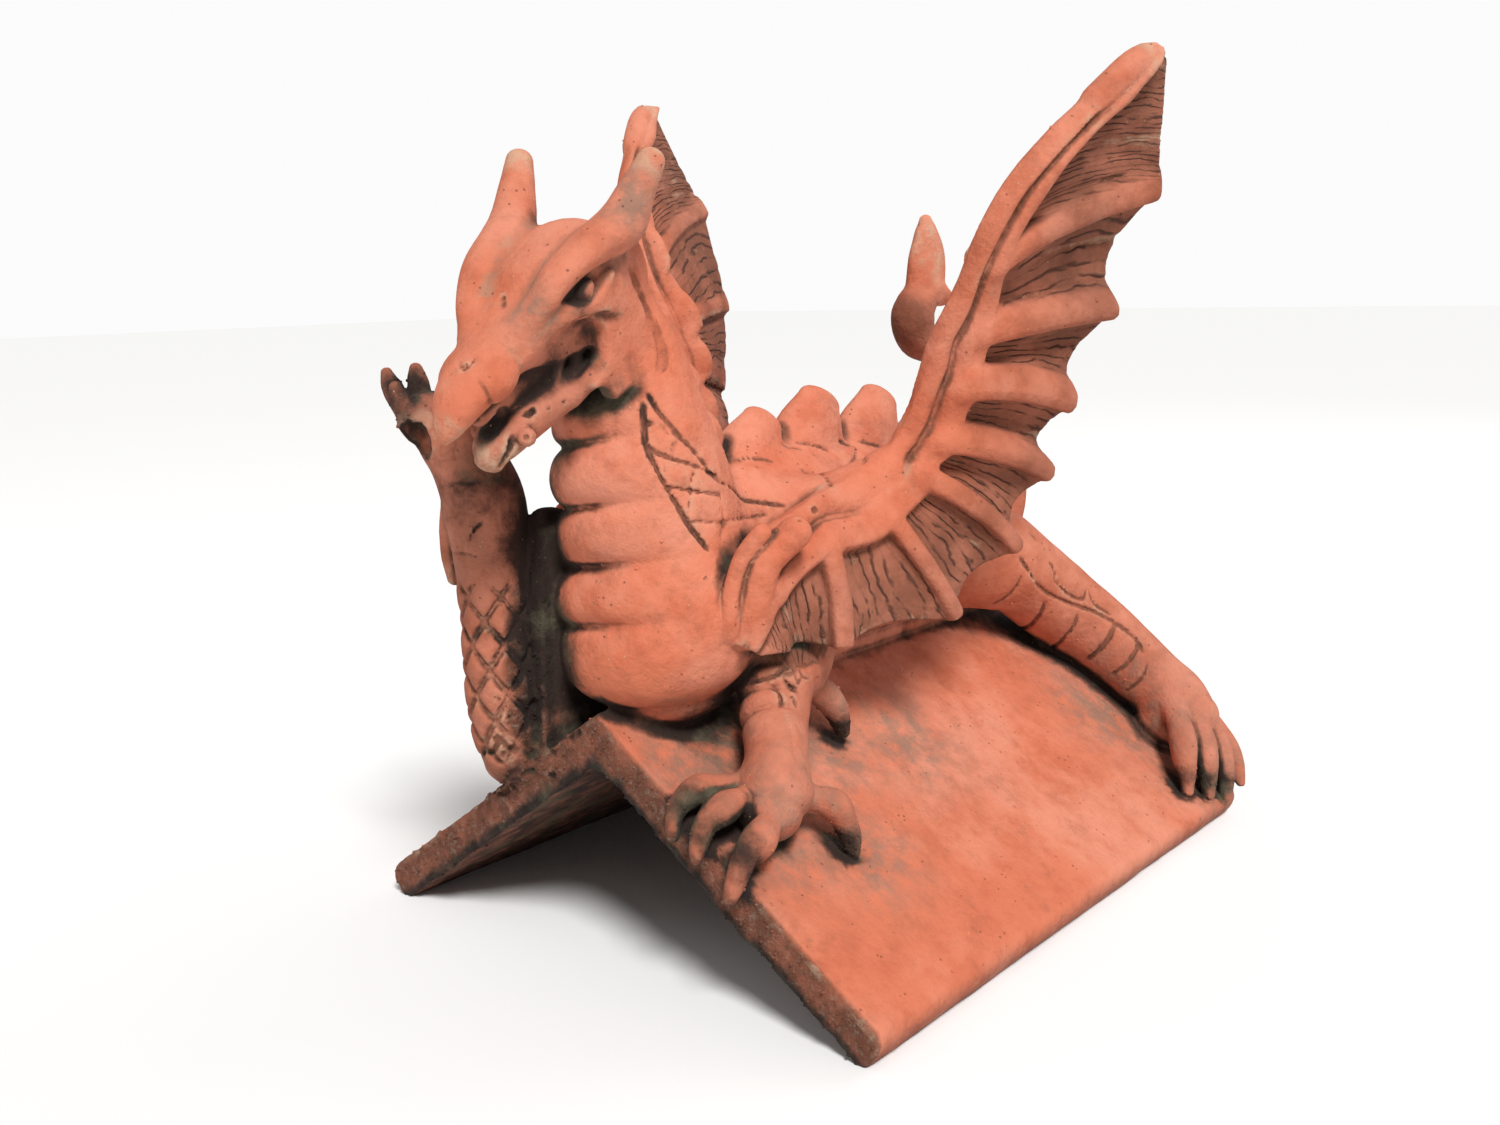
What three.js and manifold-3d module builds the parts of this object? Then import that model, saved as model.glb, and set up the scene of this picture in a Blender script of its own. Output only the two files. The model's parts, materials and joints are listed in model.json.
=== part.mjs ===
import * as THREE from 'three';
import { mergeVertices } from 'three/addons/utils/BufferGeometryUtils.js';
import Module from 'manifold-3d';

const wasm = await Module();
wasm.setup();

// Ridge tile, in millimetres: x runs across the roof, y along the ridge, z up from the feet
const ridgeLength = 450;
const slopeLength = 234;
const pitch = THREE.MathUtils.degToRad(35);
const wall = 23;
const hemRadius = 10;
const ridgeRadius = 5;
const innerFillet = 16;
const footDepth = 3.5;

// Dragon: its height over the ridge line, and the free thicknesses of its clay
const dragonHeight = 360;
const membraneThickness = 9;
const webThickness = 13;
const bellyCrease = 6;
const scaleRelief = 2.2;
const bandRelief = 1.6;

const terracotta = new THREE.MeshStandardMaterial({ color: 0xb5613f, roughness: 0.88, metalness: 0 });

// The feet are the leg ends cut level, footDepth above the sharp inner corner
const ridgeHeight = slopeLength * Math.sin(pitch) + wall * Math.cos(pitch) - footDepth;
const halfWidth = slopeLength * Math.cos(pitch);

// The dragon's points are given in 360ths of its height: across, back from the front end, up from the ridge
const share = dragonHeight / 360;
const at = ([x, y, z]) => new THREE.Vector3(x * share, y * share, ridgeHeight + z * share);

// A point that stands over the tile's slope: x and lift in shares, lift measured straight up from the slope
function overSlope([x, y, lift]) {
  const across = x * share;
  return new THREE.Vector3(across, y * share, ridgeHeight - Math.abs(across) * Math.tan(pitch) + lift * share);
}

// The same over the rear corner of one slope: in from the lower edge, forward from the rear end
const overCorner = (side) => ([inward, forward, lift]) => {
  const across = halfWidth - inward * share;
  const up = ridgeHeight - across * Math.tan(pitch) + lift * share;
  return new THREE.Vector3(side * across, ridgeLength - forward * share, up);
};

// The head's own axes: sideways, forward along the muzzle, and up through the brow; it leans a little
const headLean = THREE.MathUtils.degToRad(-5);
const headForward = new THREE.Vector3(0, -0.66, -0.75).normalize();
const headSide = new THREE.Vector3(1, 0, 0).applyAxisAngle(headForward, headLean);
const headUp = headForward.clone().cross(headSide);
const headCentre = [0, -2, 218];
const inHead = ([side, forward, up]) => at(headCentre)
  .addScaledVector(headSide, side * share)
  .addScaledVector(headForward, forward * share)
  .addScaledVector(headUp, up * share);

// A closed mesh from points and triangles, turned outwards if need be
function solidFrom(points, triangles) {
  let volume = 0;
  for (let i = 0; i < triangles.length; i += 3) {
    const [a, b, c] = [points[triangles[i]], points[triangles[i + 1]], points[triangles[i + 2]]];
    volume += a.dot(b.clone().cross(c));
  }
  const triVerts = Uint32Array.from(triangles);
  if (volume < 0) {
    for (let i = 0; i < triVerts.length; i += 3) [triVerts[i], triVerts[i + 1]] = [triVerts[i + 1], triVerts[i]];
  }
  const vertProperties = Float32Array.from(points.flatMap((point) => point.toArray()));
  return new wasm.Manifold(new wasm.Mesh({ numProp: 3, vertProperties, triVerts }));
}

function solidFromGeometry(source) {
  const geometry = source.index ? source.clone() : mergeVertices(source.clone());
  geometry.deleteAttribute('normal');
  geometry.deleteAttribute('uv');
  const merged = mergeVertices(geometry, 1e-3);
  const points = [];
  const position = merged.getAttribute('position');
  for (let i = 0; i < position.count; i += 1) points.push(new THREE.Vector3().fromBufferAttribute(position, i));
  return solidFrom(points, Array.from(merged.index.array));
}

const join = (solids) => solids.reduce((sum, solid) => sum.add(solid));

// Rings of points stacked from end to end, closed with a pole at each end
function skin(rings, firstPole, lastPole) {
  const sides = rings[0].length;
  const points = [...rings.flat(), firstPole, lastPole];
  const triangles = [];
  for (let j = 0; j < sides; j += 1) {
    const next = (j + 1) % sides;
    for (let i = 0; i + 1 < rings.length; i += 1) {
      const [a, b] = [i * sides + j, i * sides + next];
      triangles.push(a, b, b + sides, a, b + sides, a + sides);
    }
    const last = (rings.length - 1) * sides;
    triangles.push(points.length - 2, next, j, points.length - 1, last + j, last + next);
  }
  return solidFrom(points, triangles);
}

// A limb: oval sections along a smooth path, with rounded ends.
// A station is [place in its own frame, half width, half height].
function limb(stations, options = {}) {
  const { frame = at, sides = 10, steps = 2, up = [0, 0, 1], swell = () => 0, square = 2, ends = [1, 1] } = options;
  const path = new THREE.CatmullRomCurve3(stations.map(([place]) => frame(place)), false, 'catmullrom');
  const sizes = stations.map(([, width, height = width]) => new THREE.Vector3(width * share, height * share, 0));
  const girth = new THREE.CatmullRomCurve3(sizes, false, 'catmullrom');
  const reference = new THREE.Vector3(...up);
  const count = (stations.length - 1) * steps;
  const slices = [];
  for (let i = 0; i <= count; i += 1) slices.push({ t: i / count, out: 0, shrink: 1 });
  const rounding = Math.PI / 4;
  const [out, shrink] = [Math.sin(rounding), Math.cos(rounding)];
  slices.unshift({ t: 0, out: -out * ends[0], shrink });
  slices.push({ t: 1, out: out * ends[1], shrink });
  const ring = (slice, row) => {
    const { t } = slice;
    const tangent = path.getTangent(t);
    const across = reference.clone().cross(tangent).normalize();
    const lift = tangent.clone().cross(across);
    const size = girth.getPoint(t);
    const centre = path.getPoint(t).addScaledVector(tangent, slice.out * Math.min(size.x, size.y));
    return Array.from({ length: sides }, (_, column) => {
      const angle = (column / sides) * 2 * Math.PI;
      const round = (value) => Math.sign(value) * Math.abs(value) ** (2 / square);
      const radial = across.clone().multiplyScalar(round(Math.cos(angle)) * size.x * slice.shrink)
        .addScaledVector(lift, round(Math.sin(angle)) * size.y * slice.shrink);
      const outward = radial.clone().normalize();
      const extra = swell({ t, outward, row, column, place: centre }) * share * slice.shrink;
      return centre.clone().add(radial).addScaledVector(outward, extra);
    });
  };
  const pole = (t, sign) => {
    const size = girth.getPoint(t);
    return path.getPoint(t).addScaledVector(path.getTangent(t), sign * Math.min(size.x, size.y));
  };
  return skin(slices.map(ring), pole(0, -ends[0]), pole(1, ends[1]));
}

// A lump: an oval ball of three half sizes, centred in a frame and turned by a turn of its own
function lump(place, [width, depth, height], frame = at, turn = new THREE.Quaternion()) {
  const geometry = new THREE.SphereGeometry(1, 7, 5);
  geometry.scale(width * share, depth * share, height * share);
  geometry.applyQuaternion(turn);
  const centre = frame(place);
  geometry.translate(centre.x, centre.y, centre.z);
  return solidFromGeometry(geometry);
}

const headTurn = new THREE.Quaternion().setFromRotationMatrix(
  new THREE.Matrix4().makeBasis(headSide, headForward.clone().negate(), headUp),
);
const mirrored = ([x, y, z]) => [-x, y, z];

// Ridge tile: two slopes of even wall, rounded at ridge, hem and inner apex, on two level feet
function ridgeTile() {
  const down = new THREE.Vector2(Math.cos(pitch), -Math.sin(pitch));
  const out = new THREE.Vector2(Math.sin(pitch), Math.cos(pitch));
  const apex = new THREE.Vector2(0, ridgeHeight);
  const along = (distance, depth) => apex.clone().addScaledVector(down, distance).addScaledVector(out, -depth);
  const rightSide = [];
  for (const part of [0, 0.5, 1]) {
    const angle = pitch * part;
    const dip = ridgeRadius / Math.cos(pitch) - ridgeRadius * Math.cos(angle);
    rightSide.push(new THREE.Vector2(ridgeRadius * Math.sin(angle), ridgeHeight - dip));
  }
  const hemSteps = 4;
  for (let i = 0; i <= hemSteps; i += 1) {
    const angle = (i / hemSteps) * Math.PI / 2;
    const distance = slopeLength - hemRadius + hemRadius * Math.sin(angle);
    rightSide.push(along(distance, hemRadius - hemRadius * Math.cos(angle)));
  }
  const footOuter = along(slopeLength, wall - footDepth / Math.cos(pitch));
  const footInner = along(slopeLength - footDepth / Math.sin(pitch), wall);
  rightSide.push(new THREE.Vector2(footOuter.x, 0), new THREE.Vector2(footInner.x, 0));
  const innerApex = ridgeHeight - wall / Math.cos(pitch);
  for (const part of [1, 0.6, 0.3]) {
    const angle = pitch * part;
    const drop = innerFillet / Math.cos(pitch) - innerFillet * Math.cos(angle);
    rightSide.push(new THREE.Vector2(innerFillet * Math.sin(angle), innerApex - drop));
  }
  const underApex = new THREE.Vector2(0, innerApex - innerFillet / Math.cos(pitch) + innerFillet);
  const leftSide = rightSide.slice(1).reverse().map((point) => new THREE.Vector2(-point.x, point.y));
  const outline = new THREE.Shape([...rightSide, underApex, ...leftSide]);
  const geometry = new THREE.ExtrudeGeometry(outline, { depth: ridgeLength, bevelEnabled: false });
  geometry.rotateX(Math.PI / 2);
  geometry.translate(0, ridgeLength, 0);
  return solidFromGeometry(geometry);
}

// Trunk along the ridge, from chest to tail root
function trunk() {
  return limb([
    [[0, 42, 56], 46, 52],
    [[0, 90, 61], 55, 63],
    [[0, 160, 66], 51, 68],
    [[0, 250, 62], 46, 64],
    [[0, 330, 50], 47, 54],
    [[0, 385, 40], 40, 42],
    [[0, 415, 34], 26, 30],
  ], { sides: 14, steps: 1, ends: [0.5, 0.7] });
}

// Chest and neck from the tile upwards: [place, half width, half depth], and the heights of the belly creases
const neckStations = [
  [[0, 61, 6], 42, 44],
  [[0, 59, 22], 57, 54],
  [[0, 59, 50], 63, 57],
  [[0, 57, 82], 57, 53],
  [[0, 51, 108], 51, 50],
  [[0, 44, 136], 47, 47],
  [[0, 40, 160], 42, 41],
  [[0, 36, 184], 36, 35],
  [[0, 28, 206], 30, 29],
  [[0, 18, 224], 25, 25],
];
const creases = [-2, 49, 81, 114, 149, 176, 200];

// How far the neck bulges sideways at a place on it, given back from the front end and up from the ridge
function neckBulge(back, height) {
  const upper = neckStations.findIndex(([place]) => place[2] > height);
  const [[from, width, depth], [to, nextWidth, nextDepth]] = neckStations.slice(upper - 1, upper + 1);
  const part = (height - from[2]) / (to[2] - from[2]);
  const between = THREE.MathUtils.lerp;
  const offCentre = (back - between(from[1], to[1], part)) / between(depth, nextDepth, part);
  return between(width, nextWidth, part) * Math.sqrt(Math.max(0, 1 - offCentre * offCentre));
}

// Chest and neck, standing up from the front of the ridge, with the belly rolls across the front
function chestAndNeck() {
  const rollAt = (height) => {
    const upper = creases.findIndex((crease) => crease > height);
    if (upper < 1) return 0;
    const part = (height - creases[upper - 1]) / (creases[upper] - creases[upper - 1]);
    return Math.sin(Math.PI * part) ** 0.7;
  };
  const rolls = ({ outward, place }) => {
    const height = (place.z - ridgeHeight) / share;
    const facing = THREE.MathUtils.smoothstep(-outward.y, 0.1, 0.6);
    return facing * bellyCrease * (rollAt(height) - 0.5);
  };
  return limb(neckStations, { sides: 18, steps: 3, up: [0, 1, 0], swell: rolls, ends: [0.5, 0.6] });
}

// Side of the neck: rows of raised scales that widen downwards towards the wing
function neckScales(side) {
  const rows = [
    { height: 172, first: 26, count: 1 },
    { height: 157, first: 28, count: 1 },
    { height: 142, first: 30, count: 2 },
    { height: 127, first: 34, count: 3 },
    { height: 112, first: 40, count: 4 },
  ];
  const [halfSize, spacing, rise, slant, root] = [8, 15, 2, 0.3, 8];
  return rows.flatMap(({ height, first, count }) => Array.from({ length: count }, (_, column) => {
    const [back, up] = [first + column * spacing, height + column * rise];
    const lifted = (y, z, out) => at([side * (neckBulge(y, z) + out), y, z]);
    const ring = (size, out) => [[-1, 0], [0, -1], [1, 0], [0, 1]]
      .map(([a, b]) => lifted(back + (a + b * slant) * size, up + b * size, out));
    const crown = lifted(back, up, scaleRelief);
    return skin([ring(halfSize, -root / 2), ring(halfSize - 1, scaleRelief)], lifted(back, up, -root), crown);
  }));
}

// Crest: broad rounded lobes leaning back, down the neck and along the back
function crest() {
  const lobes = [
    { foot: [0, 52, 190], top: [0, 66, 208], width: 15, length: 21 },
    { foot: [0, 66, 160], top: [0, 86, 180], width: 16, length: 23 },
    { foot: [0, 82, 132], top: [0, 104, 148], width: 17, length: 24 },
    { foot: [0, 136, 118], top: [0, 154, 147], width: 20, length: 28 },
    { foot: [0, 192, 118], top: [0, 212, 156], width: 21, length: 31 },
    { foot: [0, 256, 112], top: [0, 278, 152], width: 20, length: 31 },
    { foot: [0, 318, 92], top: [0, 338, 124], width: 17, length: 26 },
    { foot: [0, 368, 68], top: [0, 386, 94], width: 13, length: 20 },
  ];
  return lobes.map(({ foot, top, width, length }) => {
    const middle = foot.map((value, axis) => (value + top[axis]) / 2);
    const stations = [
      [foot, width, length],
      [middle, width * 0.82, length * 0.92],
      [top, width * 0.48, length * 0.6],
    ];
    return limb(stations, { sides: 7, steps: 1, up: [0, 1, 0], ends: [0.4, 0.8] });
  });
}

// Head: skull and beak, jaw, cheeks, brows with their horns, nostrils and eyes
function head() {
  const skull = limb([
    [[0, -40, -6], 22, 22],
    [[0, -22, 0], 32, 28],
    [[0, 2, 13], 37, 27],
    [[0, 24, 20], 33, 21],
    [[0, 44, 27], 22, 16],
    [[0, 62, 31], 19, 13],
    [[0, 82, 32], 15, 11],
    [[0, 99, 29], 6, 6],
  ], { frame: inHead, sides: 14, steps: 1, up: headUp.toArray(), square: 2.4, ends: [0.6, 0.8] });
  const jaw = limb([
    [[0, -4, -20], 19, 12],
    [[0, 24, -13], 18, 11],
    [[0, 50, -6], 16, 10],
    [[0, 74, -1], 14, 10],
    [[0, 92, 1], 10, 9],
  ], { frame: inHead, sides: 10, steps: 1, up: headUp.toArray(), ends: [0.5, 0.6] });
  const pieces = [skull, jaw];
  for (const side of [1, -1]) {
    const place = side > 0 ? inHead : (point) => inHead(mirrored(point));
    pieces.push(limb([
      [[26, -8, 16], 9, 16],
      [[28, -6, -1], 8, 16],
      [[29, 0, -12], 8, 20],
      [[29, 8, -24], 7, 22],
      [[29, 10, -36], 5, 10],
    ], { frame: place, sides: 8, steps: 1, up: headForward.toArray(), ends: [0.6, 0.7] }));
    pieces.push(limb([
      [[14, 48, 33], 6, 5],
      [[25, 26, 35], 10, 8],
      [[32, 4, 35], 12, 10],
      [[34, -18, 30], 15, 13],
      [[38, -36, 33], 13, 12],
      [[42, -51, 38], 10, 10],
      [[45, -65, 43], 7.5, 7.5],
    ], { frame: place, sides: 9, steps: 1, up: headUp.toArray(), ends: [0.7, 0.9] }));
    pieces.push(lump([side * 14, 60, 35], [11, 13, 10], inHead, headTurn));
  }
  const sockets = [1, -1].map((side) => lump([side * 39, 7, 18], [9, 12, 8], inHead, headTurn));
  const eyes = [1, -1].map((side) => lump([side * 29, 7, 18], [7, 9, 6], inHead, headTurn));
  return [sockets.reduce((rest, socket) => rest.subtract(socket), join(pieces)), ...eyes];
}

// One wing: a sheet of clay thickened into the leading bar with its groove, and into the ribs.
// Each line of the fan runs from the leading edge over the middle to the trailing edge.
function wing(side) {
  const place = side > 0 ? at : (point) => at(mirrored(point));
  const fan = [
    { edge: [194, 268, 356], middle: [195, 272, 353], tip: [196, 277, 350] },
    { edge: [164, 213, 305], middle: [174, 252, 316], tip: [189, 292, 318] },
    { edge: [141, 191, 266], middle: [162, 248, 290], tip: [182, 303, 294] },
    { edge: [122, 189, 228], middle: [146, 234, 258], tip: [178, 309, 279], rib: 18 },
    { edge: [105, 191, 196], middle: [135, 250, 206], tip: [156, 301, 209], rib: 19 },
    { edge: [94, 189, 166], middle: [124, 233, 166], tip: [141, 276, 154], rib: 19 },
    { edge: [84, 182, 139], middle: [113, 228, 130], tip: [130, 270, 110], rib: 18 },
    { edge: [78, 172, 124], middle: [107, 212, 98], tip: [122, 244, 66], rib: 17 },
    { edge: [73, 150, 112], middle: [99, 172, 68], tip: [112, 190, 32], rib: 17 },
    { edge: [68, 112, 104], middle: [84, 110, 60], tip: [92, 105, 28], rib: 16 },
    { edge: [62, 62, 80], middle: [70, 76, 50], tip: [74, 78, 30] },
    { edge: [60, 52, 38], middle: [63, 60, 34], tip: [66, 66, 30] },
  ];
  const last = fan.length - 1;
  const edges = new THREE.CatmullRomCurve3(fan.map(({ edge }) => place(edge)), false, 'catmullrom');
  const middles = new THREE.CatmullRomCurve3(fan.map(({ middle }) => place(middle)), false, 'catmullrom');
  const tips = fan.map(({ tip }) => place(tip));
  const scallop = 0.16;
  const pleat = 5;
  const ribSpread = 0.28;
  const sheetPoint = (line, v) => {
    const index = Math.min(Math.floor(line), last - 1);
    const part = line - index;
    const [edge, middle] = [edges.getPoint(line / last), middles.getPoint(line / last)];
    const arch = fan[index].rib ? Math.sin(Math.PI * part) : 0;
    const tip = tips[index].clone().lerp(tips[index + 1], part).lerp(middle, scallop * arch);
    tip.x -= side * pleat * share * arch;
    middle.x -= side * pleat * share * arch;
    const weights = [(1 - v) * (1 - 2 * v), 4 * v * (1 - v), v * (2 * v - 1)];
    return edge.multiplyScalar(weights[0]).addScaledVector(middle, weights[1]).addScaledVector(tip, weights[2]);
  };
  // Across the sheet, as distances from the leading edge: rim, groove, bar, then the free membrane
  const lip = [
    { out: -5, thick: 6 },
    { out: -1, thick: 14 },
    { out: 6, thick: 12 },
    { out: 13, thick: 23 },
    { out: 23, thick: 17 },
  ];
  const lipDepth = 24;
  const spread = [0.46, 0.86, 1];
  const lines = fan.flatMap(({ rib }, index) => {
    if (!rib) return [index];
    return [index - ribSpread, index, index + ribSpread];
  });
  const points = [];
  const nudge = 1e-3;
  for (const line of lines) {
    const nearest = Math.round(line);
    const rib = line === nearest && fan[nearest].rib ? fan[nearest].rib * share : 0;
    const reach = sheetPoint(line, 0).distanceTo(sheetPoint(line, 0.5)) * 2;
    const narrow = Math.min(1, (reach * spread[0]) / (lipDepth * share));
    const stops = [
      ...lip.map(({ out, thick }) => ({ v: (out * share * narrow) / reach, thick: thick * share * narrow ** 0.2 })),
      ...spread.map((v) => ({ v, thick: rib * (v < 1 ? 1 - 0.25 * v : 0.45) })),
    ];
    stops.forEach(({ v, thick }) => {
      const here = sheetPoint(line, v);
      const alongLine = sheetPoint(Math.min(line + nudge, last), v).sub(sheetPoint(Math.max(line - nudge, 0), v));
      const alongV = sheetPoint(line, v + nudge).sub(sheetPoint(line, v - nudge));
      const web = membraneThickness * (v < 1 ? 1 : 0.7);
      const half = alongLine.cross(alongV).normalize().multiplyScalar(Math.max(thick, web) / 2);
      points.push(here.clone().add(half), here.clone().sub(half));
    });
  }
  const [rows, columns] = [lines.length - 1, lip.length + spread.length - 1];
  const id = (i, j, face) => (i * (columns + 1) + j) * 2 + face;
  const triangles = [];
  const quad = (a, b, c, d) => triangles.push(a, b, c, a, c, d);
  for (let i = 0; i < rows; i += 1) {
    for (let j = 0; j < columns; j += 1) {
      quad(id(i, j, 0), id(i + 1, j, 0), id(i + 1, j + 1, 0), id(i, j + 1, 0));
      quad(id(i, j, 1), id(i, j + 1, 1), id(i + 1, j + 1, 1), id(i + 1, j, 1));
    }
    quad(id(i, 0, 1), id(i + 1, 0, 1), id(i + 1, 0, 0), id(i, 0, 0));
    quad(id(i, columns, 0), id(i + 1, columns, 0), id(i + 1, columns, 1), id(i, columns, 1));
  }
  for (let j = 0; j < columns; j += 1) {
    quad(id(0, j, 0), id(0, j + 1, 0), id(0, j + 1, 1), id(0, j, 1));
    quad(id(rows, j, 1), id(rows, j + 1, 1), id(rows, j + 1, 0), id(rows, j, 0));
  }
  const sheet = solidFrom(points, triangles);
  const shoulder = limb(
    [[[24, 128, 88], 34, 30], [[54, 148, 98], 26, 24], [[80, 172, 122], 14, 16]],
    { frame: place, sides: 8, steps: 1 },
  );
  return [sheet, shoulder];
}

const claw = (points, thick, frame) => limb(
  points.map((point, i) => [point, thick * [1, 1.08, 0.8, 0.45][i]]),
  { frame, sides: 5, steps: 1, up: [1, 0, 0.2], ends: [0.6, 0.9] },
);

// Front leg that stands on the slope, its toes over the front edge
function standingLeg() {
  const waves = 30;
  const bands = ({ t, outward }) => (outward.y < 0 ? bandRelief * Math.sin(t * waves) : 0);
  return [
    limb([[[34, 88, 48], 30, 30], [[48, 112, 12], 26, 24]], { sides: 10, steps: 1 }),
    limb([
      [[52, 112, 56], 25],
      [[54, 97, 50], 23],
      [[64, 81, 37], 19],
      [[80, 62, 31], 17],
      [[90, 47, 25], 21],
      [[93, 40, 19], 17],
    ], { frame: overSlope, sides: 10, steps: 2, up: [0, 0, 1], swell: bands }),
    claw([[80, 44, 22], [68, 14, 14], [66, -5, 8], [69, -12, -2]], 8, overSlope),
    claw([[86, 42, 23], [83, 14, 18], [81, -4, 10], [84, -12, 0]], 8.5, overSlope),
    claw([[97, 42, 24], [104, 17, 20], [105, 0, 14], [106, -12, 2]], 9, overSlope),
    claw([[94, 56, 23], [108, 75, 24], [114, 80, 16], [117, 82, 5]], 8.5, overSlope),
    claw([[48, 112, 44], [58, 130, 33], [62, 142, 22], [63, 147, 9]], 9, overSlope),
  ];
}

// Raised arm on the other side: scaled forearm with its elbow on the slope, open paw beside the jaw
function raisedArm() {
  const scales = ({ row, column, t }) => (t < 0.62 && (row + column) % 2 === 0 ? scaleRelief : 0);
  const stub = (points, thick) => claw(points, thick, at);
  return [
    limb([[[-36, 84, 50], 30, 30], [[-54, 56, 8], 24, 24], [[-66, 14, -34], 21, 21]], { sides: 10, steps: 1 }),
    limb([
      [[-66, 2, -34], 19],
      [[-66, -3, -10], 21],
      [[-67, -5, 20], 20.5],
      [[-69, -4, 52], 19.5, 21],
      [[-71, -3, 80], 20.5, 23],
      [[-74, -4, 112], 22, 24],
      [[-78.5, -10, 134], 20.5, 21],
      [[-86, -18, 150], 19, 17],
      [[-94, -26, 161], 14.5, 18],
    ], { sides: 10, steps: 2, up: [0, 1, 0], swell: scales }),
    stub([[-100, -26, 156], [-110, -28, 168], [-117, -29, 178], [-120, -30, 186]], 8),
    stub([[-98, -20, 156], [-103, -19, 170], [-106, -18, 180], [-108, -18, 188]], 8),
    stub([[-92, -30, 154], [-93, -36, 164], [-95, -39, 170], [-97, -41, 176]], 7),
    stub([[-86, -12, 112], [-92, -13, 94], [-94, -12, 78], [-93, -12, 67]], 7),
  ];
}

// Web of clay between the chest and the raised arm, its outline given back from the front end and up
function clayWeb() {
  const innerFace = -36 * share;
  const corners = [[0, -44], [62, -20], [62, 100], [22, 116], [4, 108], [1, 70]];
  const outline = new THREE.Shape(corners.map(([y, z]) => new THREE.Vector2(y * share, ridgeHeight + z * share)));
  const geometry = new THREE.ExtrudeGeometry(outline, { depth: webThickness, bevelEnabled: false });
  geometry.rotateX(Math.PI / 2);
  geometry.rotateZ(Math.PI / 2);
  geometry.translate(innerFace - webThickness, 0, 0);
  return solidFromGeometry(geometry);
}

// Hind leg over the rear of one slope, with the foot gripping the lower corner
function hindLeg(side) {
  const place = overCorner(side);
  const hip = limb([[[side * 24, 344, 40], 36, 40], [[side * 38, 372, 28], 32, 34]], { sides: 12, steps: 1 });
  const [waves, firstBand] = [40, 0.3];
  const bands = ({ t, outward }) => (outward.y < 0.1 && t > firstBand ? bandRelief * Math.sin(t * waves) : 0);
  return [
    hip,
    limb([
      [[153, 84, 66], 32, 30],
      [[130, 38, 40], 31, 29],
      [[109, 20, 34], 28, 25],
      [[86, 15, 32], 26, 22],
      [[62, 15, 33], 24, 20],
      [[44, 16, 37], 21, 20],
      [[30, 18, 36], 17, 17],
    ], { frame: place, sides: 10, steps: 2, up: [0, 1, 0], swell: bands }),
    claw([[40, 26, 36], [28, 42, 31], [20, 54, 19], [16, 59, 5]], 10.5, place),
    claw([[34, 18, 38], [19, 28, 33], [11, 37, 22], [8, 41, 5]], 10, place),
    claw([[32, 12, 38], [14, 15, 32], [5, 20, 20], [2, 23, 4]], 9, place),
    claw([[38, 0, 32], [20, -6, 24], [8, -6, 14], [2, -3, 2]], 9, place),
  ];
}

// Tail: up from the rump behind the wings and forward again to a spade tip
function tail() {
  const stem = limb([
    [[0, 404, 36], 28],
    [[0, 434, 64], 22],
    [[0, 438, 108], 18],
    [[0, 412, 148], 16],
    [[0, 372, 172], 14],
    [[0, 342, 186], 13],
  ], { sides: 8, steps: 2, up: [1, 0, 0] });
  const spade = limb([
    [[0, 322, 190], 13, 14],
    [[0, 322, 204], 15, 18],
    [[0, 334, 224], 12, 19],
    [[0, 338, 244], 8, 19],
    [[0, 337, 262], 6, 10],
    [[0, 336, 270], 4, 5],
  ], { sides: 10, steps: 1, up: [0, 1, 0], ends: [0.7, 0.9] });
  return [stem, spade];
}

// The joined mesh with its points on a fine grid, so that the slivers left along the joins close up
function welded({ vertProperties, triVerts, numProp }) {
  const grid = 0.04;
  const places = new Map();
  const positions = [];
  const numbers = [];
  for (let i = 0; i < vertProperties.length; i += numProp) {
    const steps = [0, 1, 2].map((axis) => Math.round(vertProperties[i + axis] / grid));
    const key = steps.join(' ');
    if (!places.has(key)) {
      places.set(key, positions.length / 3);
      positions.push(...steps.map((step) => step * grid));
    }
    numbers.push(places.get(key));
  }
  const triangles = [];
  for (let i = 0; i < triVerts.length; i += 3) {
    const [a, b, c] = [numbers[triVerts[i]], numbers[triVerts[i + 1]], numbers[triVerts[i + 2]]];
    if (a !== b && b !== c && c !== a) triangles.push(a, b, c);
  }
  const geometry = new THREE.BufferGeometry();
  geometry.setAttribute('position', new THREE.Float32BufferAttribute(positions, 3));
  geometry.setIndex(triangles);
  geometry.computeVertexNormals();
  return geometry;
}

function dragonRidgeTile() {
  const solid = join([
    ridgeTile(),
    trunk(),
    chestAndNeck(),
    ...neckScales(1),
    ...neckScales(-1),
    ...crest(),
    ...head(),
    ...wing(1),
    ...wing(-1),
    ...standingLeg(),
    ...raisedArm(),
    clayWeb(),
    ...hindLeg(1),
    ...hindLeg(-1),
    ...tail(),
  ]);
  return welded(solid.getMesh());
}

// The finished piece, centred over its footprint with its feet at z = 0
const geometry = dragonRidgeTile();
geometry.computeBoundingBox();
const middle = geometry.boundingBox.getCenter(new THREE.Vector3());
const piece = new THREE.Mesh(geometry, terracotta);
piece.name = 'dragon_ridge_tile';
piece.position.set(-middle.x, -middle.y, 0);

const group = new THREE.Group();
group.add(piece);

export default group;
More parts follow.
